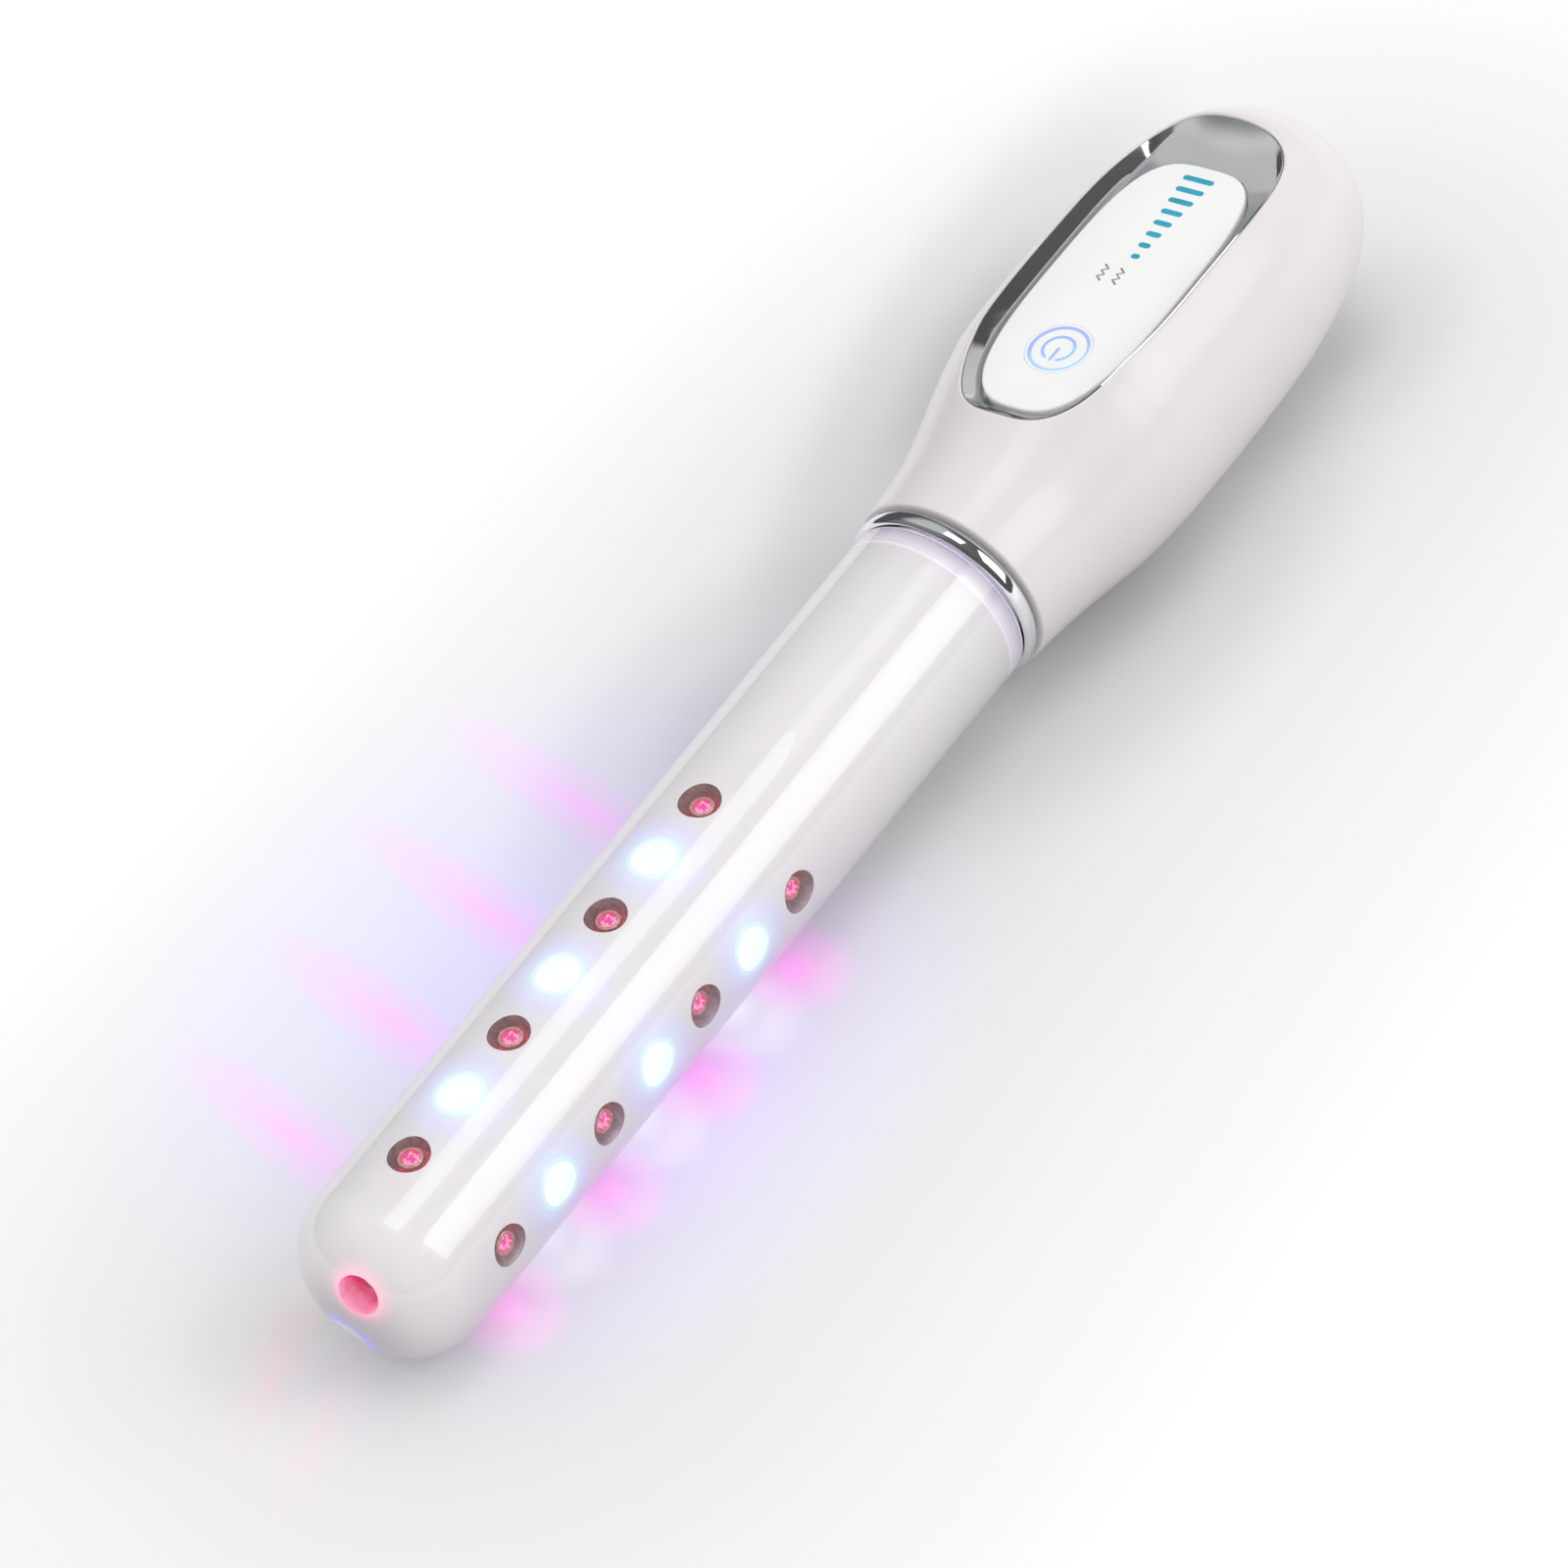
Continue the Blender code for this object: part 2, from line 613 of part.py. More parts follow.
def build_front(wand):
    clear = make_finish("clear_cover", (0.93, 0.94, 0.97), 0.03, alpha=0.25)
    white = make_finish("core_white", (0.82, 0.79, 0.81), 0.25)
    gold = make_finish("laser_can", (0.72, 0.42, 0.30), 0.25, metallic=1.0)
    blue = make_finish("blue_light", (0.55, 0.85, 1.0), 0.15)
    metal = make_finish("spine_metal", (0.75, 0.76, 0.78), 0.35, metallic=1.0)
    mask = make_finish("strip_board", (0.85, 0.87, 0.85), 0.45)
    rubber = make_finish("seal_rubber", (0.05, 0.05, 0.055), 0.7)

    place("clear_sleeve", make_mesh("clear_sleeve", sleeve_shape(), clear), wand)
    core = place("core_tube", make_mesh("core_tube", core_shape(), white), wand)
    subtract(core, "window_cutters", window_cutters(), wand)

    laser = make_mesh("laser_diode", laser_shape(), gold)
    led = make_mesh("blue_led", led_shape(), blue)
    strip = make_mesh("diode_board", strip_shape(), mask)
    for row, letter in enumerate(ROW_NAMES):
        azimuth = 360 / len(ROW_NAMES) * row
        place(f"diode_board_{letter}", strip, wand, Matrix.Rotation(math.radians(azimuth), 4, "X"))
        for i in range(LASERS_PER_ROW):
            x = WINDOW_FROM_TIP + LASER_PITCH * i
            place(f"laser_diode_{letter}{i + 1}", laser, wand, row_matrix(azimuth, x, LASER_SEAT))
            if i > 0:
                between = row_matrix(azimuth, x - LASER_PITCH / 2, LASER_SEAT)
                place(f"blue_led_{letter}{i}", led, wand, between)
    back = TIP_LIGHT_SETBACK + LASER_BASE_HEIGHT
    place("tip_laser_diode", laser, wand, tip_matrix(1, back))
    place("tip_blue_led", led, wand, tip_matrix(-1, back))

    place("heat_spine", make_mesh("heat_spine", spine_shape(), metal), wand)
    holder = place("tip_holder", make_mesh("tip_holder", holder_shape(), metal), wand)
    for i, seat in enumerate(holder_seats()):
        subtract(holder, f"tip_seat_{i + 1}", seat, wand)

    turns = [2 * math.pi * i / SECTION_SEGMENTS for i in range(SECTION_SEGMENTS)]
    middle = NECK_BORE_RADIUS - GAP - SEAL_SECTION_RADIUS
    centre = Vector((SEAL_X, middle))
    section = [centre + SEAL_SECTION_RADIUS * Vector((math.cos(t), math.sin(t))) for t in turns]
    seal = turned(section, BORE_SEGMENTS, looped=True)
    place("neck_seal", make_mesh("neck_seal", seal, rubber), wand)


# Vibration motor


def motor_shape():
    bore = SHAFT_RADIUS + GAP
    bottom = MOTOR_END - SHAFT_SEAT - GAP
    profile = [(MOTOR_START, 0), (MOTOR_START, MOTOR_RADIUS), (MOTOR_END, MOTOR_RADIUS)]
    profile += [(MOTOR_END, bore), (bottom, bore), (bottom, 0)]
    return turned(profile, BORE_SEGMENTS)


def bush_shape():
    inner = MOTOR_RADIUS + GAP
    outer = CORE_BORE_RADIUS - GAP
    end = BUSH_START + BUSH_LENGTH
    profile = [(BUSH_START, inner), (BUSH_START, outer), (end, outer), (end, inner)]
    return turned(profile, BORE_SEGMENTS, looped=True)


def weight_shape():
    """Shaft with a half-round weight that hangs below it, drawn from the weight's inner face."""
    outline = []
    for point in ring(0, 1, BORE_SEGMENTS):
        radius = WEIGHT_RADIUS if point.z < 0 else WEIGHT_HUB_RADIUS
        outline.append(point * radius)
    start = -WEIGHT_STANDOFF - SHAFT_SEAT
    rings = [ring(start, SHAFT_RADIUS, BORE_SEGMENTS), ring(0, SHAFT_RADIUS, BORE_SEGMENTS), outline]
    return skin([*rings, [p + Vector((WEIGHT_LENGTH, 0, 0)) for p in outline]])


def build_motor(wand):
    steel = make_finish("motor_steel", (0.62, 0.63, 0.65), 0.3, metallic=1.0)
    bush = make_finish("bush_plastic", (0.12, 0.12, 0.13), 0.5)
    place("vibration_motor", make_mesh("vibration_motor", motor_shape(), steel), wand)
    place("motor_bush", make_mesh("motor_bush", bush_shape(), bush), wand)
    spin_centre = Matrix.Translation((MOTOR_END + WEIGHT_STANDOFF, 0, 0))
    place("eccentric_weight", make_mesh("eccentric_weight", weight_shape(), steel), wand, spin_centre)


# Ring and handle


def collar_shape():
    """Chrome ring with a rounded outside."""
    end = RING_START + RING_WIDTH
    profile = [(RING_START, NECK_BORE_RADIUS)]
    for centre, start_deg in ((RING_START + RING_ROUND, 180), (end - RING_ROUND, 90)):
        for step in range(ROUND_STEPS + 1):
            turn = math.radians(start_deg - 90 * step / ROUND_STEPS)
            edge = RING_RADIUS - RING_ROUND * (1 - math.sin(turn))
            profile.append((centre + RING_ROUND * math.cos(turn), edge))
    profile.append((end, NECK_BORE_RADIUS))
    return turned(profile, ROUND_SEGMENTS, looped=True)


def handle_outside(curve):
    """Outside of the handle, with the neck's bore and the inlet's bore as blind holes in its two ends."""
    first = curve[0]
    stations = [(CAVITY_START + OVERRUN, NECK_BORE_RADIUS, 0), (first.x, NECK_BORE_RADIUS, 0)]
    stations += [(first.x, first.y - HANDLE_EDGE, 0), (first.x + HANDLE_EDGE, first.y, 0), *curve[1:]]
    stations += [(TOTAL_LENGTH, INLET_RADIUS + GAP, 0), (CAVITY_END - OVERRUN, INLET_RADIUS + GAP, 0)]
    return skin([ring(x, radius, ROUND_SEGMENTS, lift) for x, radius, lift in stations])


def handle_cavity(curve):
    """Hollow of the handle, with a flat roof under the panel."""
    places = [CAVITY_START, *[s.x for s in curve[::2] if CAVITY_START < s.x < CAVITY_END], CAVITY_END]
    rings = []
    for x in places:
        radius, lift = handle_at(x, curve)
        hollow = ring(x, radius - HANDLE_WALL, BORE_SEGMENTS, lift)
        rings.append([Vector((p.x, p.y, min(p.z, CAVITY_ROOF))) for p in hollow])
    return skin(rings)


def build_handle(wand, curve, tilt, drop):
    white = make_finish("handle_white", (0.83, 0.78, 0.78), 0.12)
    chrome = make_finish("chrome", (0.78, 0.79, 0.81), 0.06, metallic=1.0)
    place("collar_ring", make_mesh("collar_ring", collar_shape(), chrome), wand)
    shell = place("handle_shell", make_mesh("handle_shell", handle_outside(curve), white, 30.0), wand)

    wide = 2 * HANDLE_RADIUS
    corners = [(x, -drop - x * math.tan(tilt)) for x in (HANDLE_START, TOTAL_LENGTH)]
    corners += [(TOTAL_LENGTH, -wide), (HANDLE_START, -wide)]
    below = extruded([Vector((x, -wide, z)) for x, z in corners], Vector((0, 2 * wide, 0)))
    subtract(shell, "belly_cutter", below, wand)

    subtract(shell, "cavity_cutter", handle_cavity(curve), wand)
    rim = rim_outline()
    pocket = extruded(at_height(rim, DECK_TOP), Vector((0, 0, wide)))
    subtract(shell, "pocket_cutter", pocket, wand)
    opening = at_height(inset(rim, LEDGE_WIDTH), CAVITY_ROOF - OVERRUN)
    subtract(shell, "opening_cutter", extruded(opening, Vector((0, 0, wide))), wand)

    place("bezel", make_mesh("bezel", bezel_shape(curve), chrome, 25.0), wand)


# Panel and button


def bezel_shape(curve):
    """Chrome frame: a land at the rim, a hollow slope down to the panel, and a flange under it."""
    rim = rim_outline()
    plate = panel_outline()
    wall = inset(rim, GAP)
    top = on_handle(wall, curve)
    land = on_handle(inset(rim, GAP + BEZEL_LAND), curve)
    edge = at_height(inset(plate, -GAP), PANEL_TOP)
    scoop = []
    for high, low in zip(land, edge):
        across = high.lerp(low, SCOOP_WIDTH_SHARE)
        scoop.append(Vector((across.x, across.y, high.z + (low.z - high.z) * SCOOP_DEPTH_SHARE)))
    flange = inset(plate, BEZEL_FLANGE_WIDTH)
    rings = [at_height(wall, BEZEL_BOTTOM), top, land, scoop, edge, at_height(edge, BEZEL_FLANGE_TOP)]
    rings += [at_height(flange, BEZEL_FLANGE_TOP), at_height(flange, BEZEL_BOTTOM)]
    return skin(rings, looped=True)


def build_panel(wand):
    plate_white = make_finish("panel_white", (0.86, 0.88, 0.87), 0.3)
    light = make_finish("light_guide", (0.55, 0.62, 1.0), 0.2)
    plate = extruded(at_height(panel_outline(), PANEL_BOTTOM), Vector((0, 0, PANEL_THICKNESS)))
    panel = place("control_panel", make_mesh("control_panel", plate, plate_white), wand)
    hole = GUIDE_RADIUS + GUIDE_WIDTH + GAP
    bore = upright(rod(PANEL_BOTTOM - OVERRUN, PANEL_TOP + OVERRUN, hole, BORE_SEGMENTS), BUTTON_X)
    subtract(panel, "button_hole_cutter", bore, wand)

    outer = GUIDE_RADIUS + GUIDE_WIDTH
    guide = [(PANEL_TOP, GUIDE_RADIUS), (PANEL_TOP, outer), (GUIDE_FLANGE_TOP, outer)]
    guide += [(GUIDE_FLANGE_TOP, outer + GUIDE_FLANGE_WIDTH), (GUIDE_BOTTOM, outer + GUIDE_FLANGE_WIDTH)]
    guide.append((GUIDE_BOTTOM, GUIDE_RADIUS))
    shape = upright(turned(guide, BORE_SEGMENTS, looped=True), BUTTON_X)
    place("light_ring", make_mesh("light_ring", shape, light), wand)

    flange = BUTTON_RADIUS + BUTTON_FLANGE_WIDTH
    rise = PANEL_TOP - BUTTON_FLANGE_BOTTOM
    thick = BUTTON_FLANGE_THICKNESS
    cap = [(rise, 0), (rise, BUTTON_RADIUS - BUTTON_EDGE), (rise - BUTTON_EDGE, BUTTON_RADIUS)]
    cap += [(thick, BUTTON_RADIUS), (thick, flange), (0, flange), (0, STEM_RADIUS)]
    cap += [(-STEM_LENGTH, STEM_RADIUS), (-STEM_LENGTH, 0)]
    shape = upright(turned(cap, BORE_SEGMENTS), 0)
    slide = Matrix.Translation((BUTTON_X, 0, BUTTON_FLANGE_BOTTOM))
    place("power_button", make_mesh("power_button", shape, plate_white), wand, slide)


# Switch, board, cell and housing


def build_switch(wand):
    dark = make_finish("switch_plastic", (0.08, 0.08, 0.09), 0.5)
    half = SWITCH_SIDE / 2
    body = block((BUTTON_X - half, -half, SWITCH_BOTTOM), (BUTTON_X + half, half, SWITCH_TOP))
    switch = place("tact_switch", make_mesh("tact_switch", body, dark), wand)
    bottom = SWITCH_TOP - PLUNGER_SEAT - BUTTON_TRAVEL - GAP
    well = upright(rod(bottom, SWITCH_TOP + OVERRUN, PLUNGER_RADIUS + GAP, SMALL_SEGMENTS), BUTTON_X)
    subtract(switch, "plunger_well_cutter", well, wand)
    pin = upright(rod(-PLUNGER_PROUD - PLUNGER_SEAT, 0, PLUNGER_RADIUS, SMALL_SEGMENTS), 0)
    slide = Matrix.Translation((BUTTON_X, 0, PLUNGER_TOP))
    place("switch_plunger", make_mesh("switch_plunger", pin, dark), wand, slide)


def screw_places():
    """Corners of the board where its screws go."""
    along = BOARD_LENGTH / 2 - SCREW_INSET
    aside = BOARD_WIDTH / 2 - SCREW_INSET
    return [(PANEL_CENTRE + sx * along, sy * aside) for sx in (-1, 1) for sy in (-1, 1)]


def screw_holes(low, high):
    """Cutters of the screws' clearance holes between two heights."""
    hole = SCREW_SHANK_RADIUS + GAP
    return merged([upright(rod(low, high, hole, SMALL_SEGMENTS), x, y) for x, y in screw_places()])


def housing_outline(x, centre):
    """Section of the cell housing: a round belly under a wide deck."""
    steps = BORE_SEGMENTS // 2
    turns = [math.pi * (1 + i / steps) for i in range(steps + 1)]
    belly = [Vector((x, HOUSING_HALF * math.cos(t), centre + HOUSING_HALF * math.sin(t))) for t in turns]
    half = BOARD_WIDTH / 2
    under = HOUSING_TOP - HOUSING_DECK
    right = [(HOUSING_HALF, under), (half, under), (half, HOUSING_TOP)]
    left = [(-y, z) for y, z in reversed(right)]
    return belly + [Vector((x, y, z)) for y, z in right + left]


def build_core_electronics(wand, curve):
    green = make_finish("driver_board", (0.05, 0.25, 0.14), 0.4)
    steel = make_finish("screw_steel", (0.6, 0.61, 0.63), 0.3, metallic=1.0)
    grey = make_finish("housing_plastic", (0.25, 0.26, 0.28), 0.5)
    wrap = make_finish("cell_wrap", (0.12, 0.3, 0.55), 0.35)
    build_switch(wand)

    half_length = BOARD_LENGTH / 2
    low = (PANEL_CENTRE - half_length, -BOARD_WIDTH / 2, BOARD_BOTTOM)
    high = (PANEL_CENTRE + half_length, BOARD_WIDTH / 2, BOARD_TOP)
    board = place("main_board", make_mesh("main_board", block(low, high), green), wand)
    subtract(board, "board_hole_cutters", screw_holes(BOARD_BOTTOM - OVERRUN, BOARD_TOP + OVERRUN), wand)

    under_head = BOARD_TOP + GAP
    top = SCREW_LENGTH + SCREW_HEAD_HEIGHT
    profile = [(0, 0), (0, SCREW_SHANK_RADIUS), (SCREW_LENGTH, SCREW_SHANK_RADIUS)]
    profile += [(SCREW_LENGTH, SCREW_HEAD_RADIUS), (top, SCREW_HEAD_RADIUS), (top, 0)]
    screw = make_mesh("board_screw", upright(turned(profile, SMALL_SEGMENTS), 0), steel)
    for i, (x, y) in enumerate(screw_places()):
        place(f"board_screw_{i + 1}", screw, wand, Matrix.Translation((x, y, under_head - SCREW_LENGTH)))

    start = PANEL_CENTRE - HOUSING_LENGTH / 2
    end = PANEL_CENTRE + HOUSING_LENGTH / 2
    centre = max(cavity_floor(start, curve), cavity_floor(end, curve)) + GAP + HOUSING_HALF
    housing = extruded(housing_outline(start, centre), Vector((HOUSING_LENGTH, 0, 0)))
    chassis = place("chassis", make_mesh("chassis", housing, grey), wand)
    tunnel = rod(start - OVERRUN, end + OVERRUN, TUNNEL_RADIUS, BORE_SEGMENTS)
    bmesh.ops.translate(tunnel, vec=(0, 0, centre), verts=tunnel.verts)
    subtract(chassis, "tunnel_cutter", tunnel, wand)
    bottom = under_head - SCREW_LENGTH - GAP
    subtract(chassis, "screw_hole_cutters", screw_holes(bottom, HOUSING_TOP + OVERRUN), wand)

    half = CELL_LENGTH / 2
    profile = [(-half, 0), (-half, CELL_RADIUS), (half, CELL_RADIUS), (half, CELL_POLE_RADIUS)]
    profile += [(half + CELL_POLE_HEIGHT, CELL_POLE_RADIUS), (half + CELL_POLE_HEIGHT, 0)]
    cell = make_mesh("battery_cell", turned(profile, BORE_SEGMENTS), wrap)
    place("battery_cell", cell, wand, Matrix.Translation((PANEL_CENTRE, 0, centre)))


# Charging inlet


def build_inlet(wand):
    dark = make_finish("inlet_plastic", (0.2, 0.2, 0.21), 0.4)
    gold = make_finish("contact_gold", (0.85, 0.62, 0.25), 0.2, metallic=1.0)
    flange_front = CAVITY_END - GAP
    flange_back = flange_front - INLET_FLANGE_THICKNESS
    wide = INLET_RADIUS + INLET_FLANGE_WIDTH
    profile = [(flange_back, 0), (flange_back, wide), (flange_front, wide), (flange_front, INLET_RADIUS)]
    profile += [(TOTAL_LENGTH, INLET_RADIUS), (TOTAL_LENGTH, 0)]
    plate = place("contact_plate", make_mesh("contact_plate", turned(profile, BORE_SEGMENTS), dark), wand)
    bores = []
    for side in (-1, 1):
        bore = rod(flange_back - OVERRUN, TOTAL_LENGTH + OVERRUN, PIN_RADIUS + GAP, SMALL_SEGMENTS)
        bmesh.ops.translate(bore, vec=(0, side * PIN_SPACING / 2, 0), verts=bore.verts)
        bores.append(bore)
    subtract(plate, "pin_bore_cutters", merged(bores), wand)

    head = flange_back - GAP
    tail = head - PIN_FLANGE_THICKNESS
    wide = PIN_RADIUS + PIN_FLANGE_WIDTH
    profile = [(tail - PIN_TAIL, 0), (tail - PIN_TAIL, PIN_RADIUS), (tail, PIN_RADIUS), (tail, wide)]
    profile += [(head, wide), (head, PIN_RADIUS), (TOTAL_LENGTH, PIN_RADIUS), (TOTAL_LENGTH, 0)]
    pin = make_mesh("charge_pin", turned(profile, SMALL_SEGMENTS), gold)
    for i, side in enumerate((-1, 1)):
        place(f"charge_pin_{i + 1}", pin, wand, Matrix.Translation((0, side * PIN_SPACING / 2, 0)))


# Lay of the wand on the floor


def floor_line(curve):
    """Tilt of the axis and drop of the floor below the tip, with the dome on the floor."""
    tip = [(x, -radius) for x, radius in dome(0)]
    belly = [(s.x, s.z - s.y) for s in curve]
    low, high = 0.0, math.pi / 4
    for _ in range(50):
        tilt = (low + high) / 2
        tip_drop = max(-z - x * math.tan(tilt) for x, z in tip)
        belly_drop = max(-z - x * math.tan(tilt) for x, z in belly) - BELLY_FLAT_DEPTH
        if belly_drop > tip_drop:
            low = tilt
        else:
            high = tilt
    return low, tip_drop


def middle_of_length(curve, tilt):
    """Middle of the laid wand along the floor."""
    outline = [(x, radius, 0) for x, radius in dome(0)] + [(s.x, s.y, s.z) for s in curve]
    reach = []
    for x, radius, lift in outline:
        for z in (lift - radius, lift + radius):
            reach.append(x * math.cos(tilt) - z * math.sin(tilt))
    return (min(reach) + max(reach)) / 2


def build():
    for obj in list(bpy.data.objects):
        bpy.data.objects.remove(obj)
    curve = handle_curve()
    tilt, drop = floor_line(curve)
    wand = bpy.data.objects.new("wand", None)
    bpy.context.scene.collection.objects.link(wand)
    wand.rotation_euler = (0, -tilt, 0)
    wand.location = (-middle_of_length(curve, tilt), 0, drop * math.cos(tilt))
    build_front(wand)
    build_motor(wand)
    build_handle(wand, curve, tilt, drop)
    build_panel(wand)
    build_core_electronics(wand, curve)
    build_inlet(wand)


build()
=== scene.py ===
"""Looks of the cold laser therapy wand: fine shells, lit diodes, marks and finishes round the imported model.

Pieces are drawn in the wand's own frame, as in its CAD: +X runs along the axis from the tip to the butt,
+Z leaves the control panel, and the tip of the sleeve is at x = 0. Lengths are in metres.
"""

import bisect
import json
import math

import bmesh
import bpy
from mathutils import Matrix, Vector


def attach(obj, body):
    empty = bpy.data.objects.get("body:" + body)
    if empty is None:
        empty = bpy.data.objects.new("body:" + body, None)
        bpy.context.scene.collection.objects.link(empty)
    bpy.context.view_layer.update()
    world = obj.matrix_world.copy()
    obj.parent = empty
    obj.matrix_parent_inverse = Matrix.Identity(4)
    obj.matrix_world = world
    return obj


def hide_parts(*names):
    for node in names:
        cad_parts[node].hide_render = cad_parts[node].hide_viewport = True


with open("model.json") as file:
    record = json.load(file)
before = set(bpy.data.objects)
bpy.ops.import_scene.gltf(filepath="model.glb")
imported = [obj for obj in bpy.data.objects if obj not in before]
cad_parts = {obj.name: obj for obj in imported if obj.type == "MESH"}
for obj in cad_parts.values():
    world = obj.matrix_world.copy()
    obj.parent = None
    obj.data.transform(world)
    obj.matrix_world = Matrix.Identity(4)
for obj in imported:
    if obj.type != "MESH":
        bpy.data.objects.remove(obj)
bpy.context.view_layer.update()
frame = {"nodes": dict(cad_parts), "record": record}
MM = 0.001

# Fineness of the round pieces
ROUND_SEGMENTS = 160
HANDLE_SEGMENTS = 168
CORE_STEPS = 60
WINDOW_SEGMENTS = 48
SMALL_SEGMENTS = 48
DIODE_SEGMENTS = 40
DOME_STEPS = 28
STATION_STEPS = 12
OUTLINE_POINTS = 176
FILLET_STEPS = 5

# Whole wand
TOTAL_LENGTH = 233.5 * MM
GAP = 0.3 * MM
BOND = 0.05 * MM
OVERRUN = 2.0 * MM

# Sleeve and core
SLEEVE_TIP_RADIUS = 13.25 * MM
SLEEVE_END_RADIUS = 14.15 * MM
DOME_DEPTH = 11.2 * MM
DOME_POWER = 2.3
BAND_START = 133.4 * MM
BAND_BORE_RADIUS = 11.05 * MM
SHOULDER = 135.9 * MM
SLEEVE_END = 146.7 * MM
SHOULDER_ROUND = 0.2 * MM
SPIGOT_RADIUS = 13.2 * MM
SEAL_X = 141.9 * MM
SEAL_GROOVE_HALF = 0.85 * MM
SEAL_GROOVE_RADIUS = 11.8 * MM
NECK_BORE_RADIUS = 13.5 * MM
CORE_INSET = 1.7 * MM
CORE_WALL = 2.35 * MM
CORE_BORE_RADIUS = 9.2 * MM
CORE_BORE_FRONT = 6.5 * MM
CORE_FRONT_WALL = 4.8 * MM
CORE_END = 149.0 * MM

# Windows and diodes
ROW_NAMES = "abcd"
LASERS_PER_ROW = 4
WINDOW_FROM_TIP = 19.0 * MM
LASER_PITCH = 21.5 * MM
WINDOW_MOUTH_RADIUS = 2.85 * MM
WINDOW_THROAT_RADIUS = 2.3 * MM
LASER_SEAT = 7.2 * MM
LASER_BASE_RADIUS = 2.8 * MM
LASER_BASE_HEIGHT = 1.2 * MM
LASER_CAP_RADIUS = 1.75 * MM
LASER_TOP = 3.8 * MM
LASER_EYE_RADIUS = 0.8 * MM
LASER_EYE_DOME = ((0.18 * MM, 0.5 * MM), (0.25 * MM, 0))
LASER_MOUTH_RADIUS = 1.3 * MM
LASER_MOUTH_DEPTH = 0.45 * MM
LASER_ROUND = 0.22 * MM
LED_BASE_RADIUS = 2.6 * MM
LED_BASE_HEIGHT = 1.9 * MM
LED_LENS_RADIUS = 1.6 * MM
LED_TOP = 3.3 * MM
LED_ROUND = 0.15 * MM
TIP_ROW_DEG = 26.0
TIP_LIGHT_TILT_DEG = 18.0
TIP_LIGHT_OFFSET = 3.9 * MM
TIP_LIGHT_SETBACK = 1.3 * MM

# Ring and handle. The stations are shares of the handle's length, its radius and its lift
RING_START = 136.2 * MM
RING_WIDTH = 2.8 * MM
RING_RADIUS = 14.8 * MM
RING_ROUND = 1.15 * MM
HANDLE_START = 139.3 * MM
HANDLE_LENGTH = 94.2 * MM
HANDLE_RADIUS = 20.9 * MM
HANDLE_LIFT = 1.5 * MM
HANDLE_WALL = 2.2 * MM
HANDLE_EDGE = 0.35 * MM
CAVITY_START = 150.5 * MM
CAVITY_END = 229.5 * MM
HANDLE_STATIONS_SHARES = (
    (0.000, 0.728, 0.00),
    (0.060, 0.752, -0.10),
    (0.125, 0.790, -0.20),
    (0.190, 0.852, -0.05),
    (0.250, 0.915, 0.25),
    (0.310, 0.962, 0.70),
    (0.380, 0.993, 1.00),
    (0.565, 1.000, 1.00),
    (0.720, 0.971, 1.00),
    (0.860, 0.860, 0.75),
    (0.930, 0.720, 0.30),
    (0.970, 0.575, 0.00),
    (1.000, 0.385, -0.20),
)

# Rim of the panel's opening, bezel, panel and button
RIM_START = 157.1 * MM
RIM_LENGTH = 64.4 * MM
RIM_WIDTH = 26.6 * MM
RIM_NEAR_POWER = 2.7
RIM_FAR_POWER = 3.8
LIP_ROUND = 0.55 * MM
DECK_WIDTH = 1.5 * MM
BEZEL_GAP = 0.08 * MM
BEZEL_SINK = 0.45 * MM
BEZEL_LAND = 0.15 * MM
BEZEL_EDGE_DROP = (0.5 * MM, 1.0 * MM)
BEZEL_WALL_STEPS = 5
BEZEL_FLOOR_STEPS = 9
BEZEL_WALL_STEEPNESS = 1.73
BEZEL_NEAR_STEEPNESS = 0.95
BEZEL_SCOOP_TURN = (0.6, 0.95)
BEZEL_SCOOP_POWER = 1.62
BEZEL_FLANGE_WIDTH = 1.2 * MM
BEZEL_FLANGE_TOP = 13.7 * MM
BEZEL_BOTTOM = 12.7 * MM
DECK_TOP = 12.4 * MM
CAVITY_ROOF = 11.0 * MM
PANEL_START = 160.6 * MM
PANEL_LENGTH = 52.8 * MM
PANEL_WIDTH = 21.8 * MM
PANEL_TOP = 15.5 * MM
PANEL_THICKNESS = 1.5 * MM
PANEL_NEAR_POWER = 2.8
PANEL_FAR_POWER = 3.5
PANEL_EDGE = 0.35 * MM
PANEL_COLOUR = (0.89, 0.90, 0.875)
BUTTON_X = 173.1 * MM
BUTTON_RADIUS = 4.1 * MM
BUTTON_EDGE = 0.3 * MM
BUTTON_DISH_DEPTH = 0.06 * MM
BUTTON_DISH_RADII = (1.6 * MM, 3.2 * MM)
BUTTON_FLANGE_RADIUS = 5.0 * MM
BUTTON_BOTTOM = 11.8 * MM
BUTTON_FLANGE_TOP = 12.6 * MM
STEM_RADIUS = 1.4 * MM
STEM_LENGTH = 0.4 * MM
GUIDE_RADIUS = 4.17 * MM
GUIDE_LIT_RADIUS = 4.55 * MM
GUIDE_OUTER_RADIUS = 4.95 * MM
GUIDE_FLANGE_RADIUS = 6.45 * MM
GUIDE_FLANGE_TOP = 13.7 * MM
GUIDE_BOTTOM = 12.9 * MM
GUIDE_EDGE = 0.06 * MM

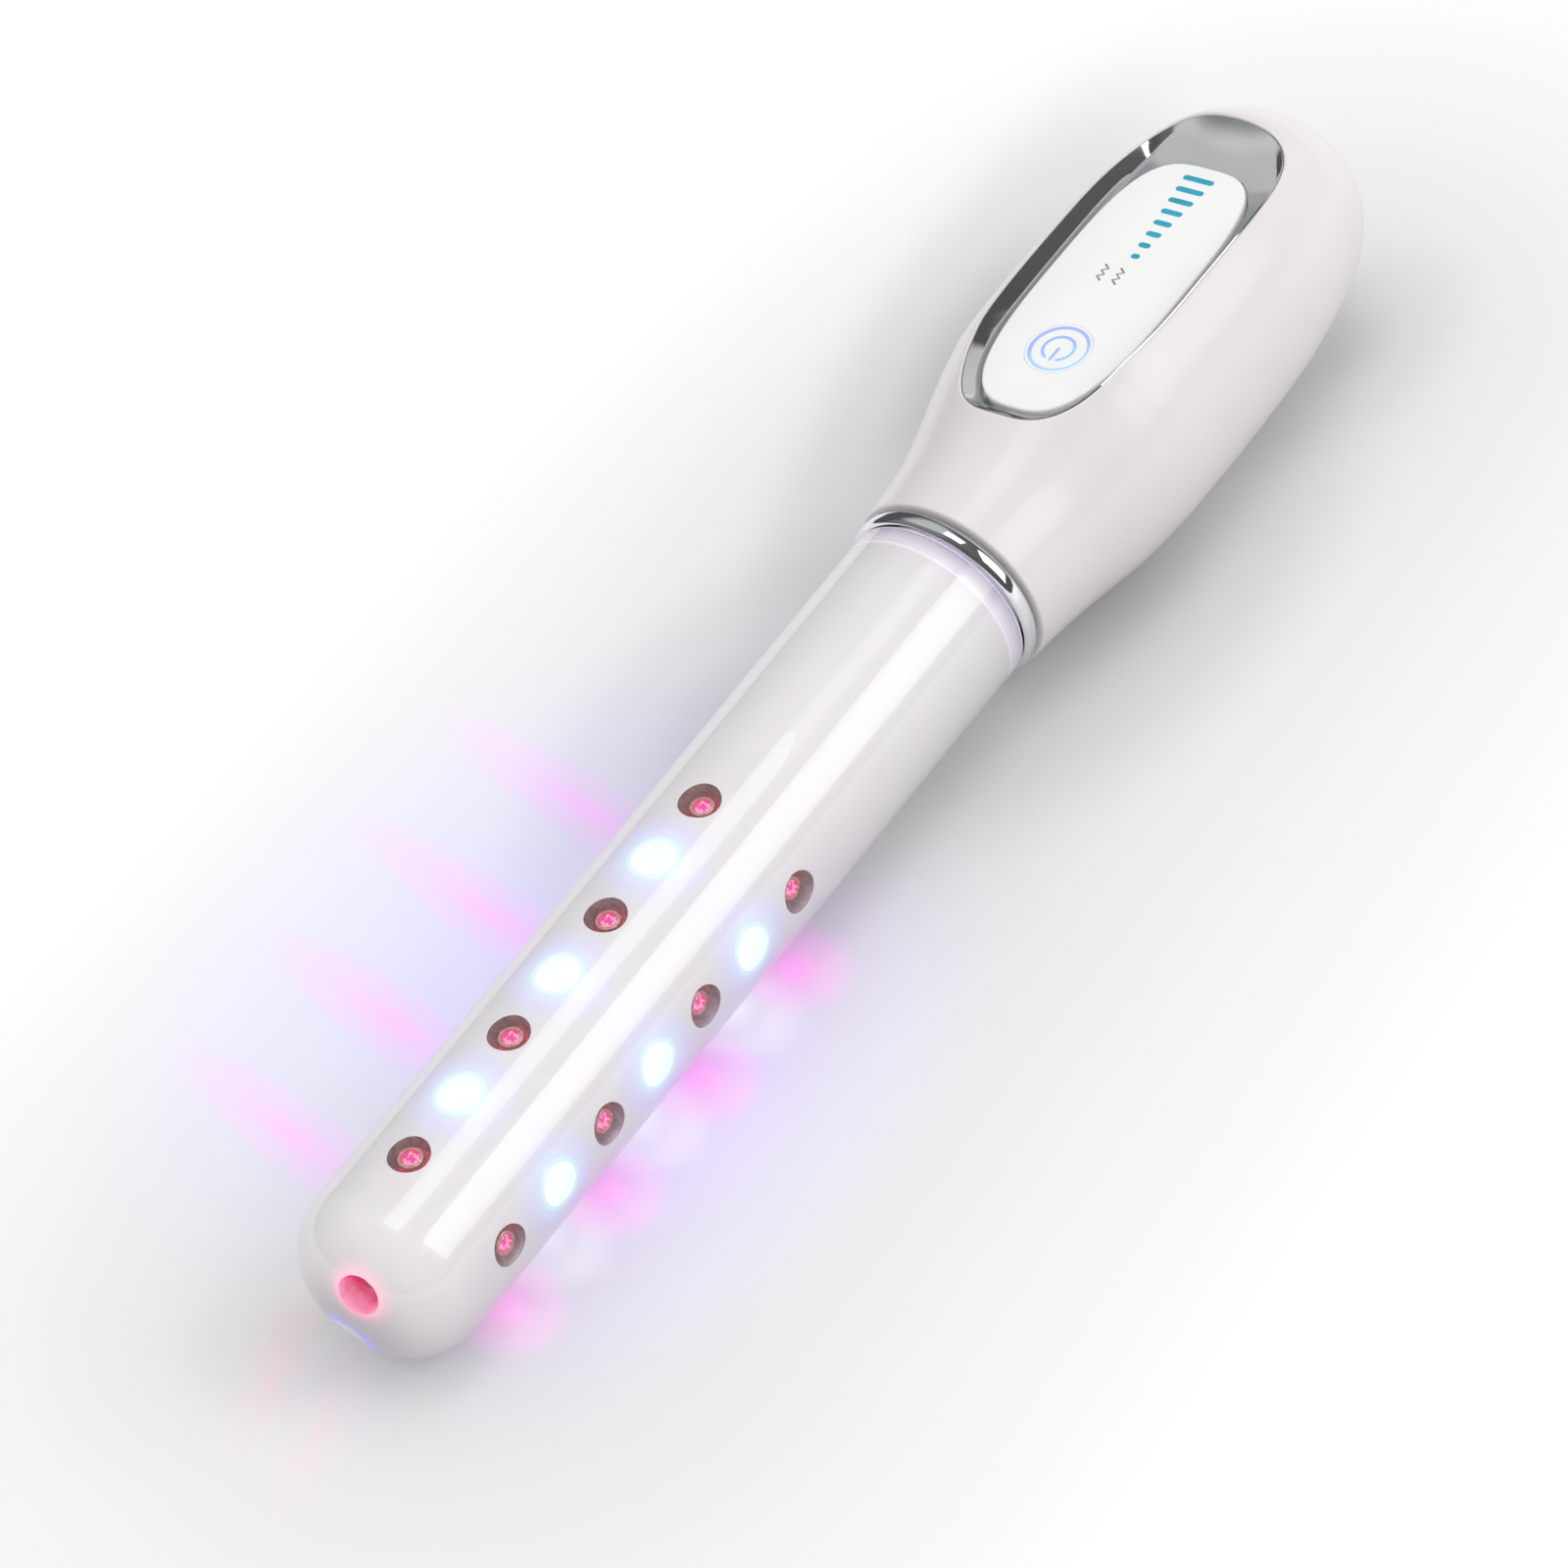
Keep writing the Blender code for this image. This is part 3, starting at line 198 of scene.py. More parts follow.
# Marks
MARK_RISE = 0.03 * MM
MARK_SINK = 0.05 * MM
POWER_ARC_RADIUS = 2.35 * MM
POWER_GAP_DEG = 26.0
POWER_STROKE = 0.42 * MM
WAVE_CENTRE = (188.9 * MM, 1.4 * MM)
WAVE_LENGTH = 3.1 * MM
WAVE_SPACING = 2.65 * MM
WAVE_SWING = 0.42 * MM
WAVE_STROKE = 0.34 * MM
WAVE_TURNS = 5
BARS_START = 193.4 * MM
BARS_PITCH = 2.45 * MM
BARS_COUNT = 8
BAR_WIDTH = 1.0 * MM
BAR_SHORTEST = 1.4 * MM
BAR_LONGEST = 5.2 * MM

# Charging inlet
INLET_RADIUS = 6.0 * MM
INLET_EDGE = 0.35 * MM
INLET_FLANGE_RADIUS = 7.5 * MM
INLET_FLANGE_THICKNESS = 1.2 * MM
PIN_RADIUS = 1.2 * MM
PIN_EDGE = 0.3 * MM
PIN_SPACING = 5.2 * MM
PIN_FLANGE_RADIUS = 1.9 * MM
PIN_FLANGE_THICKNESS = 0.9 * MM
PIN_TAIL = 1.5 * MM
PIN_BORE_BEVEL = (0.25 * MM, 0.35 * MM)

# Camera, in the wand's frame
CAMERA_PLACE = (-209.33 * MM, -362.45 * MM, 467.85 * MM)
CAMERA_RIGHT = (0.5629, -0.7902, -0.2425)
CAMERA_UP = (0.6856, 0.2825, 0.6709)
CAMERA_BACK = (-0.4617, -0.5439, 0.7007)
CAMERA_LENS_MM = 113.075
CAMERA_SENSOR_MM = 36.0

# Studio, and the reaches of the glows painted on the core
WORLD_STRENGTH = 1.3
FLOOR_HALF_SIZE = 5.0
FLOOR_DROP = 0.05 * MM
FLOOR_LIFT = 0.12
FLOOR_DEEPEST_SHADE = 0.26
LAMP_DISTANCE = 1.2
BLUE_HALO_REACH = 8.0 * MM
TIP_HALO_REACH = 5.2 * MM
GRAIN_DEPTH = 0.02 * MM


def wand_frame():
    """Place of the wand's frame, from the charging seat, which sits on its axis at the butt."""
    seat = next(m for m in frame["record"]["mounts"] if m["name"] == "charging_seat")
    along = Vector(seat["axis"]).normalized()
    aside = Vector((0, 1, 0))
    turn = Matrix((along, aside, along.cross(aside))).transposed().to_4x4()
    return Matrix.Translation(Vector(seat["pos_m"]) - along * TOTAL_LENGTH) @ turn


WAND = wand_frame()


# Shape tools


def spline(points, steps):
    """Smooth curve through the points, with so many steps from each to the next."""
    padded = [2 * points[0] - points[1], *points, 2 * points[-1] - points[-2]]
    curve = []
    for before, start, end, after in zip(padded, padded[1:], padded[2:], padded[3:]):
        for step in range(steps):
            t = step / steps
            bend = 2 * before - 5 * start + 4 * end - after
            twist = 3 * start - before - 3 * end + after
            curve.append((2 * start + (end - before) * t + bend * t**2 + twist * t**3) / 2)
    curve.append(points[-1])
    return curve


def rounded(profile, radius, corners):
    """Profile of (x, radius) pairs whose numbered corners are rounded."""
    points = []
    for i, place in enumerate(profile):
        corner = Vector(place)
        if i not in corners:
            points.append(corner)
            continue
        before = Vector(profile[i - 1]) - corner
        after = Vector(profile[(i + 1) % len(profile)]) - corner
        start = corner + before.normalized() * radius
        end = corner + after.normalized() * radius
        for step in range(FILLET_STEPS + 1):
            t = step / FILLET_STEPS
            points.append(start * (1 - t) ** 2 + corner * 2 * t * (1 - t) + end * t**2)
    return points


def ring(x, radius, count, lift=0.0):
    """Circle of points round the axis, first point towards the panel. A radius of zero gives a pole."""
    if radius == 0:
        return [Vector((x, 0, lift))]
    turns = [2 * math.pi * i / count for i in range(count)]
    return [Vector((x, radius * math.sin(turn), lift + radius * math.cos(turn))) for turn in turns]


def skin(rings, looped=False, bm=None):
    """Closed mesh through rings of points, where a pole is a ring of one."""
    bm = bm or bmesh.new()
    layers = [[bm.verts.new(point) for point in points] for points in rings]
    pairs = list(zip(layers, layers[1:]))
    if looped:
        pairs.append((layers[-1], layers[0]))
    for first, second in pairs:
        count = max(len(first), len(second))
        for i in range(count):
            j = (i + 1) % count
            corners = [first[i % len(first)], first[j % len(first)]]
            corners += [second[j % len(second)], second[i % len(second)]]
            corners = list(dict.fromkeys(corners))
            if len(corners) > 2:
                bm.faces.new(corners)
    if not looped:
        for end in (layers[0], layers[-1]):
            if len(end) > 1:
                bm.faces.new(end)
    bmesh.ops.recalc_face_normals(bm, faces=bm.faces)
    return bm


def turned(profile, count, looped=False):
    """Solid turned about the X axis from (x, radius) pairs."""
    return skin([ring(x, radius, count) for x, radius in profile], looped)


def extruded(outline, height):
    """Prism of a flat outline, raised along +Z."""
    return skin([outline, [point + Vector((0, 0, height)) for point in outline]])


def upright(bm, x, y=0.0):
    """Turns a solid drawn along +X until it points along +Z, over a point (x, y)."""
    place = Matrix.Translation((x, y, 0)) @ Matrix.Rotation(-math.pi / 2, 4, "Y")
    bmesh.ops.transform(bm, matrix=place, verts=bm.verts)
    return bm


def solid(name, bm, *materials, sharp_deg=32.0):
    """Mesh shaded smooth, but for edges sharper than the angle."""
    mesh = bpy.data.meshes.new(name)
    bm.to_mesh(mesh)
    bm.free()
    for material in materials:
        mesh.materials.append(material)
    mesh.shade_smooth()
    mesh.set_sharp_from_angle(angle=math.radians(sharp_deg))
    return mesh


def cut(name, mesh, *cutters, sharp_deg=32.0):
    """Mesh less the cutters, under a new name. The cut faces have the cutters' materials."""
    collection = bpy.context.scene.collection
    target = bpy.data.objects.new("cut_target", mesh)
    helpers = [target]
    for cutter in cutters:
        helper = bpy.data.objects.new("cutter", cutter)
        helpers.append(helper)
        step = target.modifiers.new("cut", "BOOLEAN")
        step.solver = "EXACT"
        step.material_mode = "TRANSFER"
        step.object = helper
    for helper in helpers:
        collection.objects.link(helper)
    graph = bpy.context.evaluated_depsgraph_get()
    result = bpy.data.meshes.new_from_object(target.evaluated_get(graph))
    for helper in helpers:
        bpy.data.objects.remove(helper)
    result.name = name
    result.shade_smooth()
    result.set_sharp_from_angle(angle=math.radians(sharp_deg))
    return result


def set_normals(mesh, rule):
    """Gives corners of faces the normals of the true surface. The rule returns none for the others."""
    normals = []
    for face in mesh.polygons:
        for i in face.vertices:
            normal = rule(mesh.vertices[i].co, face)
            normals.append(normal if normal is not None else Vector((0, 0, 0)))
    mesh.normals_split_custom_set(normals)


def add(name, mesh, nodes=(), body="root", place=None):
    """Piece of the wand, which rides on a body and may stand for CAD nodes."""
    piece = bpy.data.objects.new(name, mesh)
    bpy.context.scene.collection.objects.link(piece)
    piece.matrix_world = WAND @ place if place is not None else WAND
    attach(piece, body)
    if nodes:
        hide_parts(*nodes)
    return piece


# Curves that several pieces share


def dome(inset):
    """Profile of the blunt tip, drawn in from the sleeve's outside by the inset, pole first."""
    depth = DOME_DEPTH - inset
    radius = SLEEVE_TIP_RADIUS - inset
    points = []
    for step in range(DOME_STEPS + 1):
        turn = math.pi / 2 * step / DOME_STEPS
        along = 1 - math.cos(turn) ** (2 / DOME_POWER) if step < DOME_STEPS else 1
        points.append((inset + depth * along, radius * math.sin(turn) ** (2 / DOME_POWER)))
    return points


def sleeve_radius(x):
    """Outer radius of the sleeve behind its dome."""
    share = (x - DOME_DEPTH) / (SHOULDER - DOME_DEPTH)
    return SLEEVE_TIP_RADIUS + (SLEEVE_END_RADIUS - SLEEVE_TIP_RADIUS) * share


def handle_curve():
    """Stations of the handle as (x, radius, lift) vectors on one smooth curve."""
    stations = [
        Vector((HANDLE_START + along * HANDLE_LENGTH, size * HANDLE_RADIUS, lift * HANDLE_LIFT))
        for along, size, lift in HANDLE_STATIONS_SHARES
    ]
    return spline(stations, STATION_STEPS)


CURVE = handle_curve()
CURVE_X = [station.x for station in CURVE]


def handle_at(x):
    """Radius and lift of the handle at one place along it."""
    i = min(max(bisect.bisect_left(CURVE_X, x), 1), len(CURVE) - 1)
    start, end = CURVE[i - 1], CURVE[i]
    share = min(max((x - start.x) / (end.x - start.x), 0), 1)
    return start.y + (end.y - start.y) * share, start.z + (end.z - start.z) * share


def handle_top(x, y):
    """Height of the handle's surface on the panel's side."""
    radius, lift = handle_at(x)
    return lift + math.sqrt(radius**2 - y**2)


def handle_normal(point):
    """Normal of the handle's outside at a point on it."""
    step = 0.4 * MM
    _, lift = handle_at(point.x)
    radius_before, lift_before = handle_at(point.x - step)
    radius_after, lift_after = handle_at(point.x + step)
    aside = Vector((0, point.y, point.z - lift)).normalized()
    widening = (radius_after - radius_before) / (2 * step)
    rising = (lift_after - lift_before) / (2 * step)
    return Vector((-widening - rising * aside.z, aside.y, aside.z)).normalized()


def along_outline(outline):
    """Lengths along a closed outline at its points, and its whole length."""
    lengths = [0.0]
    for start, end in zip(outline, [*outline[1:], outline[0]]):
        lengths.append(lengths[-1] + (end - start).length)
    return lengths


def place_at(outline, lengths, along):
    """Point at one length along a closed outline."""
    i = min(bisect.bisect_right(lengths, along) - 1, len(outline) - 1)
    share = (along - lengths[i]) / (lengths[i + 1] - lengths[i])
    return outline[i].lerp(outline[(i + 1) % len(outline)], share)


def rounded_outline(start, length, width, near_power, far_power):
    """Evenly spread outline from its end near the sleeve. A higher power makes an end blunter."""
    points = []
    for i in range(OUTLINE_POINTS * 10):
        turn = 2 * math.pi * i / (OUTLINE_POINTS * 10)
        power = near_power if math.cos(turn) > 0 else far_power
        along = math.copysign(abs(math.cos(turn)) ** (2 / power), math.cos(turn))
        aside = math.copysign(abs(math.sin(turn)) ** (2 / power), math.sin(turn))
        points.append(Vector((start + length / 2 * (1 - along), width / 2 * aside, 0)))
    lengths = along_outline(points)
    return [place_at(points, lengths, lengths[-1] * i / OUTLINE_POINTS) for i in range(OUTLINE_POINTS)]


RIM = rounded_outline(RIM_START, RIM_LENGTH, RIM_WIDTH, RIM_NEAR_POWER, RIM_FAR_POWER)
PLATE = rounded_outline(PANEL_START, PANEL_LENGTH, PANEL_WIDTH, PANEL_NEAR_POWER, PANEL_FAR_POWER)


def inset(outline, width):
    """Outline drawn in by a width, or out by a negative one."""
    drawn = []
    for before, point, after in zip([outline[-1], *outline], outline, [*outline[1:], outline[0]]):
        way = (after - before).normalized()
        drawn.append(point + width * Vector((way.y, -way.x, 0)))
    return drawn


def facing(outline, points):
    """Places on a closed outline that face some points round it, spread smoothly."""
    lengths = along_outline(outline)
    whole = lengths[-1]
    places = []
    for point in points:
        nearest = None
        for start, end, before in zip(outline, [*outline[1:], outline[0]], lengths):
            way = (end - start).xy
            share = min(max((point - start).xy.dot(way) / way.length_squared, 0), 1)
            off = (start.lerp(end, share) - point).xy.length
            if nearest is None or off < nearest[0]:
                nearest = (off, before + way.length * share)
        along = nearest[1]
        if places:
            along += round((places[-1] - along) / whole) * whole
        places.append(along)
    looped = [p - whole for p in places[-1:]] + places + [p + whole for p in places[:1]]
    smooth = [(a + 2 * b + c) / 4 for a, b, c in zip(looped, looped[1:], looped[2:])]
    return [place_at(outline, lengths, along % whole) for along in smooth]


def at_height(outline, height):
    """Outline lifted to one height."""
    return [Vector((p.x, p.y, height)) for p in outline]


def on_handle(outline, sink=0.0):
    """Outline laid on the handle's surface, or a little under it."""
    return [Vector((p.x, p.y, handle_top(p.x, p.y) - sink)) for p in outline]


def row_matrix(azimuth_deg, x, height):
    """Place of a diode drawn along +X that looks outwards at an angle from the panel's side."""
    azimuth = math.radians(azimuth_deg)
    out = Vector((0, -math.sin(azimuth), math.cos(azimuth)))
    along = Vector((1, 0, 0))
    turn = Matrix((out, along.cross(out), along)).transposed().to_4x4()
    return Matrix.Translation(Vector((x, 0, 0)) + out * height) @ turn


def tip_matrix(side, back):
    """Place of a light of the tip, drawn along +X: side is 1 for the red one and -1 for the blue one."""
    azimuth = math.radians(TIP_ROW_DEG)
    tilt = math.radians(TIP_LIGHT_TILT_DEG)
    across = side * Vector((0, -math.sin(azimuth), math.cos(azimuth)))
    out = Vector((-math.cos(tilt), 0, 0)) + across * math.sin(tilt)
    aside = out.cross(across).normalized()
    turn = Matrix((out, aside, out.cross(aside))).transposed().to_4x4()
    seat = Vector((CORE_BORE_FRONT, 0, 0)) + across * TIP_LIGHT_OFFSET
    return Matrix.Translation(seat - out * back) @ turn


# Materials


def node(tree, kind, inputs=None, **settings):
    """Shader node with its settings, and its inputs linked to sockets or set to values."""
    made = tree.nodes.new(f"ShaderNode{kind}")
    for key, value in settings.items():
        setattr(made, key, value)
    for key, value in (inputs or {}).items():
        if isinstance(value, bpy.types.NodeSocket):
            tree.links.new(value, made.inputs[key])
        else:
            made.inputs[key].default_value = value
    return made


def maths(tree, operation, first, second=0.0, third=0.0):
    """Result of one step of arithmetic."""
    return node(tree, "Math", {0: first, 1: second, 2: third}, operation=operation).outputs[0]


def vector(tree, operation, first, second=(0.0, 0.0, 0.0)):
    """Result of one step of arithmetic on vectors."""
    return node(tree, "VectorMath", {0: first, 1: second}, operation=operation).outputs[0]


def distance(tree, first, second=(0.0, 0.0, 0.0)):
    """Distance between two places."""
    return node(tree, "VectorMath", {0: first, 1: second}, operation="DISTANCE").outputs["Value"]


def coordinate(tree, place, axis="X"):
    """One coordinate of a place."""
    return node(tree, "SeparateXYZ", {0: place}).outputs[axis]


def spread(tree, value, start, end):
    """Share of the way from one value to another, held between 0 and 1."""
    return node(tree, "MapRange", {0: value, 1: start, 2: end}).outputs[0]


def noise(tree, place, scale, detail):
    """Cloudy value over a place."""
    return node(tree, "TexNoise", {"Vector": place, "Scale": scale, "Detail": detail}).outputs[0]


def grey(level):
    return (level, level, level)


def ramp(tree, value, stops, smooth=True):
    """Colours along a value, from (place, colour) stops."""
    made = node(tree, "ValToRGB", {"Fac": value})
    made.color_ramp.interpolation = "EASE" if smooth else "LINEAR"
    elements = made.color_ramp.elements
    while len(elements) < len(stops):
        elements.new(0.5)
    for element, (place, colour) in zip(elements, stops):
        element.position = place
        element.color = (*colour, 1.0)
    return made.outputs["Color"]


def blended(tree, share, first, second):
    """Colour between two colours."""
    made = node(tree, "Mix", {"Factor": share}, data_type="RGBA")
    for socket, value in ((made.inputs[6], first), (made.inputs[7], second)):
        if isinstance(value, bpy.types.NodeSocket):
            tree.links.new(value, socket)
        else:
            socket.default_value = (*value, 1.0)
    return made.outputs[2]


def new_material(name, **sockets):
    """Material with its tree, its shader and its object coordinates. Plain values go on the shader."""
    material = bpy.data.materials.new(name)
    material.use_nodes = True
    tree = material.node_tree
    shader = tree.nodes["Principled BSDF"]
    for key, value in sockets.items():
        shader.inputs[key.replace("_", " ").title().replace("Ior", "IOR")].default_value = value
    place = node(tree, "TexCoord").outputs["Object"]
    return material, tree, shader, place


def parts(material):
    """Tree, shader and object coordinates of a material."""
    tree = material.node_tree
    return tree, tree.nodes["Principled BSDF"], tree.nodes["Texture Coordinate"].outputs["Object"]


def lit(material, glow, strength):
    """Material with a glow."""
    tree, shader, _ = parts(material)
    tree.links.new(glow, shader.inputs["Emission Color"])
    shader.inputs["Emission Strength"].default_value = strength
    return material


def finish(name, colour, rough, mottle=0.03, mottle_scale=90.0, grain=0.0, grain_scale=2500.0, **sockets):
    """Material whose colour, gloss and surface vary a little over the piece."""
    material, tree, shader, place = new_material(name, **sockets)
    cloud = noise(tree, place, mottle_scale, 3.0)
    light = [min(c * (1 + mottle), 1.0) for c in colour]
    dark = [c * (1 - mottle) for c in colour]
    tree.links.new(ramp(tree, cloud, [(0.3, dark), (0.7, light)]), shader.inputs["Base Color"])
    fine = noise(tree, place, grain_scale, 2.0)
    low, high = rough
    tree.links.new(maths(tree, "MULTIPLY_ADD", fine, high - low, low), shader.inputs["Roughness"])
    if grain > 0:
        bump = node(tree, "Bump", {"Height": fine, "Strength": grain, "Distance": GRAIN_DEPTH})
        tree.links.new(bump.outputs["Normal"], shader.inputs["Normal"])
    return material


def radial(tree, place):
    """Distance from the object's X axis."""
    return distance(tree, vector(tree, "MULTIPLY", place, (0, 1, 1)))


def clear_plastic():
    """Clear cover, faintly lilac, and more so in the thick band at the ring."""
    material, tree, shader, place = new_material(
        "clear_cover", transmission_weight=1.0, ior=1.46, roughness=0.015
    )
    band = spread(tree, coordinate(tree, place), BAND_START - 1.0 * MM, BAND_START + 3.0 * MM)
    # The thin deeper lilac line at the band's start is a painted dark line, standing in for the step in the
    # core seen through the plastic
    tint = ramp(tree, band, [
        (0.18, (0.985, 0.982, 0.99)),
        (0.22, (0.80, 0.77, 0.93)),
        (0.28, (0.975, 0.97, 0.99)),
        (0.68, (0.965, 0.96, 0.99)),
        (0.74, (0.74, 0.70, 0.92)),
    ], smooth=False)
    tree.links.new(tint, shader.inputs["Base Color"])
    return material


def window_distance(tree, place, first, count):
    """Distance along the tube's surface from the nearest of some windows in each row."""
    split = node(tree, "SeparateXYZ", {0: place})
    x, y, z = split.outputs
    steps = maths(tree, "DIVIDE", maths(tree, "SUBTRACT", x, first), LASER_PITCH)
    held = node(tree, "Clamp", {0: steps, 1: 0.0, 2: float(count - 1)}).outputs[0]
    nearest = maths(tree, "ROUND", held)
    along = maths(tree, "MULTIPLY", maths(tree, "SUBTRACT", steps, nearest), LASER_PITCH)
    turn = maths(tree, "DIVIDE", maths(tree, "ARCTAN2", y, z), math.pi / 2)
    aside = maths(tree, "SUBTRACT", turn, maths(tree, "ROUND", turn))
    arc = maths(tree, "MULTIPLY", aside, math.pi / 2 * (CORE_BORE_RADIUS + CORE_WALL))
    return distance(tree, node(tree, "CombineXYZ", {0: along, 1: arc}).outputs[0])


def tip_halo(tree, place, side, colour):
    """Painted glow round one of the tip's two windows."""
    window = tip_matrix(side, 0)
    out = window.to_3x3() @ Vector((1, 0, 0))
    seat = vector(tree, "SUBTRACT", place, window.translation)
    away = distance(tree, vector(tree, "CROSS_PRODUCT", seat, out))
    reach = maths(tree, "DIVIDE", away, TIP_HALO_REACH)
    halo = ramp(tree, reach, [(0.60, colour), (0.72, [c * 0.35 for c in colour]), (1.0, grey(0.0))])
    front = spread(tree, coordinate(tree, place), DOME_DEPTH + 2 * MM, DOME_DEPTH)
    return node(tree, "VectorMath", {0: halo, "Scale": front}, operation="SCALE").outputs[0]


def pearl_white():
    """White core, with glow painted round its blue lights, its tip's lights and its clear band.

    The blunt end of its dome is darkened by painted shade.
    """
    material = finish(
        "core_white", (0.93, 0.905, 0.915), (0.25, 0.27), mottle=0.008, mottle_scale=60.0,
        coat_weight=0.8, coat_roughness=0.12,
    )
    tree, shader, place = parts(material)
    # Painted glow: cyan and blue light painted into the core's emission round the blue lights' windows
    away = window_distance(tree, place, WINDOW_FROM_TIP + LASER_PITCH / 2, LASERS_PER_ROW - 1)
    glow = ramp(tree, maths(tree, "DIVIDE", away, BLUE_HALO_REACH), [
        (0.0, (0.08, 0.40, 0.36)),
        (0.38, (0.05, 0.30, 0.32)),
        (0.48, (0.01, 0.09, 0.26)),
        (0.70, (0.0, 0.0, 0.16)),
        (1.0, grey(0.0)),
    ])
    # Painted glow: a pale lilac light painted on the core where the clear band starts
    band = spread(tree, coordinate(tree, place), BAND_START - 0.3 * MM, BAND_START + 0.1 * MM)
    band = blended(tree, band, grey(0.0), (0.27, 0.255, 0.28))
    # Painted glows: red and violet light painted on the core round the tip's two windows
    red = tip_halo(tree, place, 1, (0.50, 0.0, 0.12))
    violet = tip_halo(tree, place, -1, (0.0, 0.0, 0.60))
    for more in (band, red, violet):
        glow = vector(tree, "ADD", glow, more)
    # Painted shade: the base colour is darkened towards the blunt end of the dome
    off = maths(tree, "DIVIDE", distance(tree, place, (0, 0, -2 * MM)), 13 * MM)
    shade = ramp(tree, off, [(0.2, (0.74, 0.73, 0.74)), (0.85, grey(1.0))])
    colour = shader.inputs["Base Color"].links[0].from_socket
    tree.links.new(vector(tree, "MULTIPLY", colour, shade), shader.inputs["Base Color"])
    return lit(material, glow, 0.9)


def window_liner():
    """Bright lining of the red lights' windows, with a painted red glow that grows towards the diode."""
    material = finish(
        "window_liner", (0.36, 0.23, 0.22), (0.22, 0.36), mottle=0.35, mottle_scale=700.0, metallic=0.3
    )
    tree, _, place = parts(material)
    away = window_distance(tree, place, WINDOW_FROM_TIP, LASERS_PER_ROW)
    share = spread(tree, away, WINDOW_THROAT_RADIUS, WINDOW_MOUTH_RADIUS)
    # Painted glow: red light painted on the lining, strongest at the throat near the diode
    glow = ramp(tree, share, [(0.0, (0.30, 0.005, 0.05)), (0.5, (0.05, 0.0, 0.01)), (1.0, grey(0.0))])
    return lit(material, glow, 0.8)


def lit_wall(name, colour, near, far, reach):
    """Wall of a lit window, with a painted glow that changes along an axis: its letter, its start and its
    end. The tip laser's own light uses it too.
    """
    material, tree, shader, place = new_material(name, roughness=0.35)
    axis, start, end = reach
    # Painted glow along the axis, made uneven by noise
    share = spread(tree, coordinate(tree, place, axis), start, end)
    uneven = maths(tree, "ADD", share, maths(tree, "MULTIPLY_ADD", noise(tree, place, 700.0, 2.0), 0.8, -0.4))
    shader.inputs["Base Color"].default_value = (*colour, 1.0)
    return lit(material, blended(tree, uneven, near, far), 1.0)


def laser_can():
    """Can of a red light, with a painted red glow on its side and base, as from the glow in its window."""
    material = finish(
        "laser_can", (0.50, 0.30, 0.26), (0.20, 0.34), mottle=0.3, mottle_scale=1500.0, metallic=0.7
    )
    tree, _, place = parts(material)
    # Painted glow: red light painted on the can's base and side, fading towards its top
    level = maths(tree, "DIVIDE", coordinate(tree, place), LASER_TOP)
    return lit(material, ramp(tree, level, [(0.80, (0.40, 0.01, 0.05)), (0.95, (0.05, 0.0, 0.01))]), 0.8)


def diode_light(name, base, stops, reach, strength):
    """Lit eye of a diode: colours from its axis outwards."""
    material, tree, shader, place = new_material(name, roughness=0.2)
    speckle = node(tree, "TexNoise", {"Vector": place, "Scale": 1500.0, "Detail": 2.0}).outputs["Color"]
    stray = vector(tree, "MULTIPLY", vector(tree, "ADD", speckle, grey(-0.5)), grey(1.6 * MM))
    share = maths(tree, "DIVIDE", radial(tree, vector(tree, "ADD", place, stray)), reach)
    shader.inputs["Base Color"].default_value = (*base, 1.0)
    return lit(material, ramp(tree, share, stops), strength)


def brushed(name, colour, rough):
    """Metal with fine lines along its length."""
    material, tree, shader, place = new_material(name, metallic=1.0)
    lines = node(tree, "Mapping", {"Vector": place, "Scale": (1.0, 40.0, 40.0)}).outputs[0]
    fine = noise(tree, lines, 120.0, 4.0)
    dark = [c * 0.86 for c in colour]
    tree.links.new(ramp(tree, fine, [(0.3, dark), (0.7, colour)]), shader.inputs["Base Color"])
    low, high = rough
    tree.links.new(maths(tree, "MULTIPLY_ADD", fine, high - low, low), shader.inputs["Roughness"])
    return material


def board_mask(name, mask, trace, metal, pitch):
    """Circuit board: solder mask over traces, with rows of bright pads."""
    material, tree, shader, place = new_material(name, roughness=0.35)
    weave = node(tree, "TexBrick", {
        "Vector": place, "Scale": 1.0,
        "Color1": (*mask, 1.0), "Color2": (*trace, 1.0), "Mortar": (*metal, 1.0),
        "Brick Width": pitch * 2.6, "Row Height": pitch, "Mortar Size": pitch * 0.06,
    })
    tree.links.new(weave.outputs["Color"], shader.inputs["Base Color"])
    tree.links.new(maths(tree, "MULTIPLY", weave.outputs["Fac"], 0.7), shader.inputs["Metallic"])
    return material


def wrapped_cell():
    """Printed sleeve of the cell, with a dark band at one end."""
    material, tree, shader, place = new_material("cell_wrap", roughness=0.3, coat_weight=0.3)
    bands = ramp(tree, spread(tree, coordinate(tree, place), 45 * MM, 94 * MM), [
        (0.0, (0.05, 0.16, 0.38)),
        (0.86, (0.07, 0.22, 0.46)),
        (0.90, (0.75, 0.76, 0.78)),
    ], smooth=False)
    cloud = maths(tree, "MULTIPLY", noise(tree, place, 260.0, 3.0), 0.2)
    tree.links.new(blended(tree, cloud, bands, (0.3, 0.4, 0.6)), shader.inputs["Base Color"])
    return material


def panel_plastic():
    """Satin panel, with a faint painted glow of the ring light on it."""
    material = finish("panel_white", PANEL_COLOUR, (0.30, 0.42), mottle=0.010, grain=0.05, grain_scale=3500.0)
    tree, _, place = parts(material)
    # Painted glow: a faint blue light painted on the panel round the light ring
    away = distance(tree, place, (BUTTON_X, 0, PANEL_TOP))
    off = maths(tree, "ABSOLUTE", maths(tree, "SUBTRACT", away, GUIDE_OUTER_RADIUS))
    glow = ramp(tree, maths(tree, "DIVIDE", off, 1.6 * MM), [(0.0, (0.0, 0.0, 0.04)), (1.0, grey(0.0))])
    return lit(material, glow, 0.8)


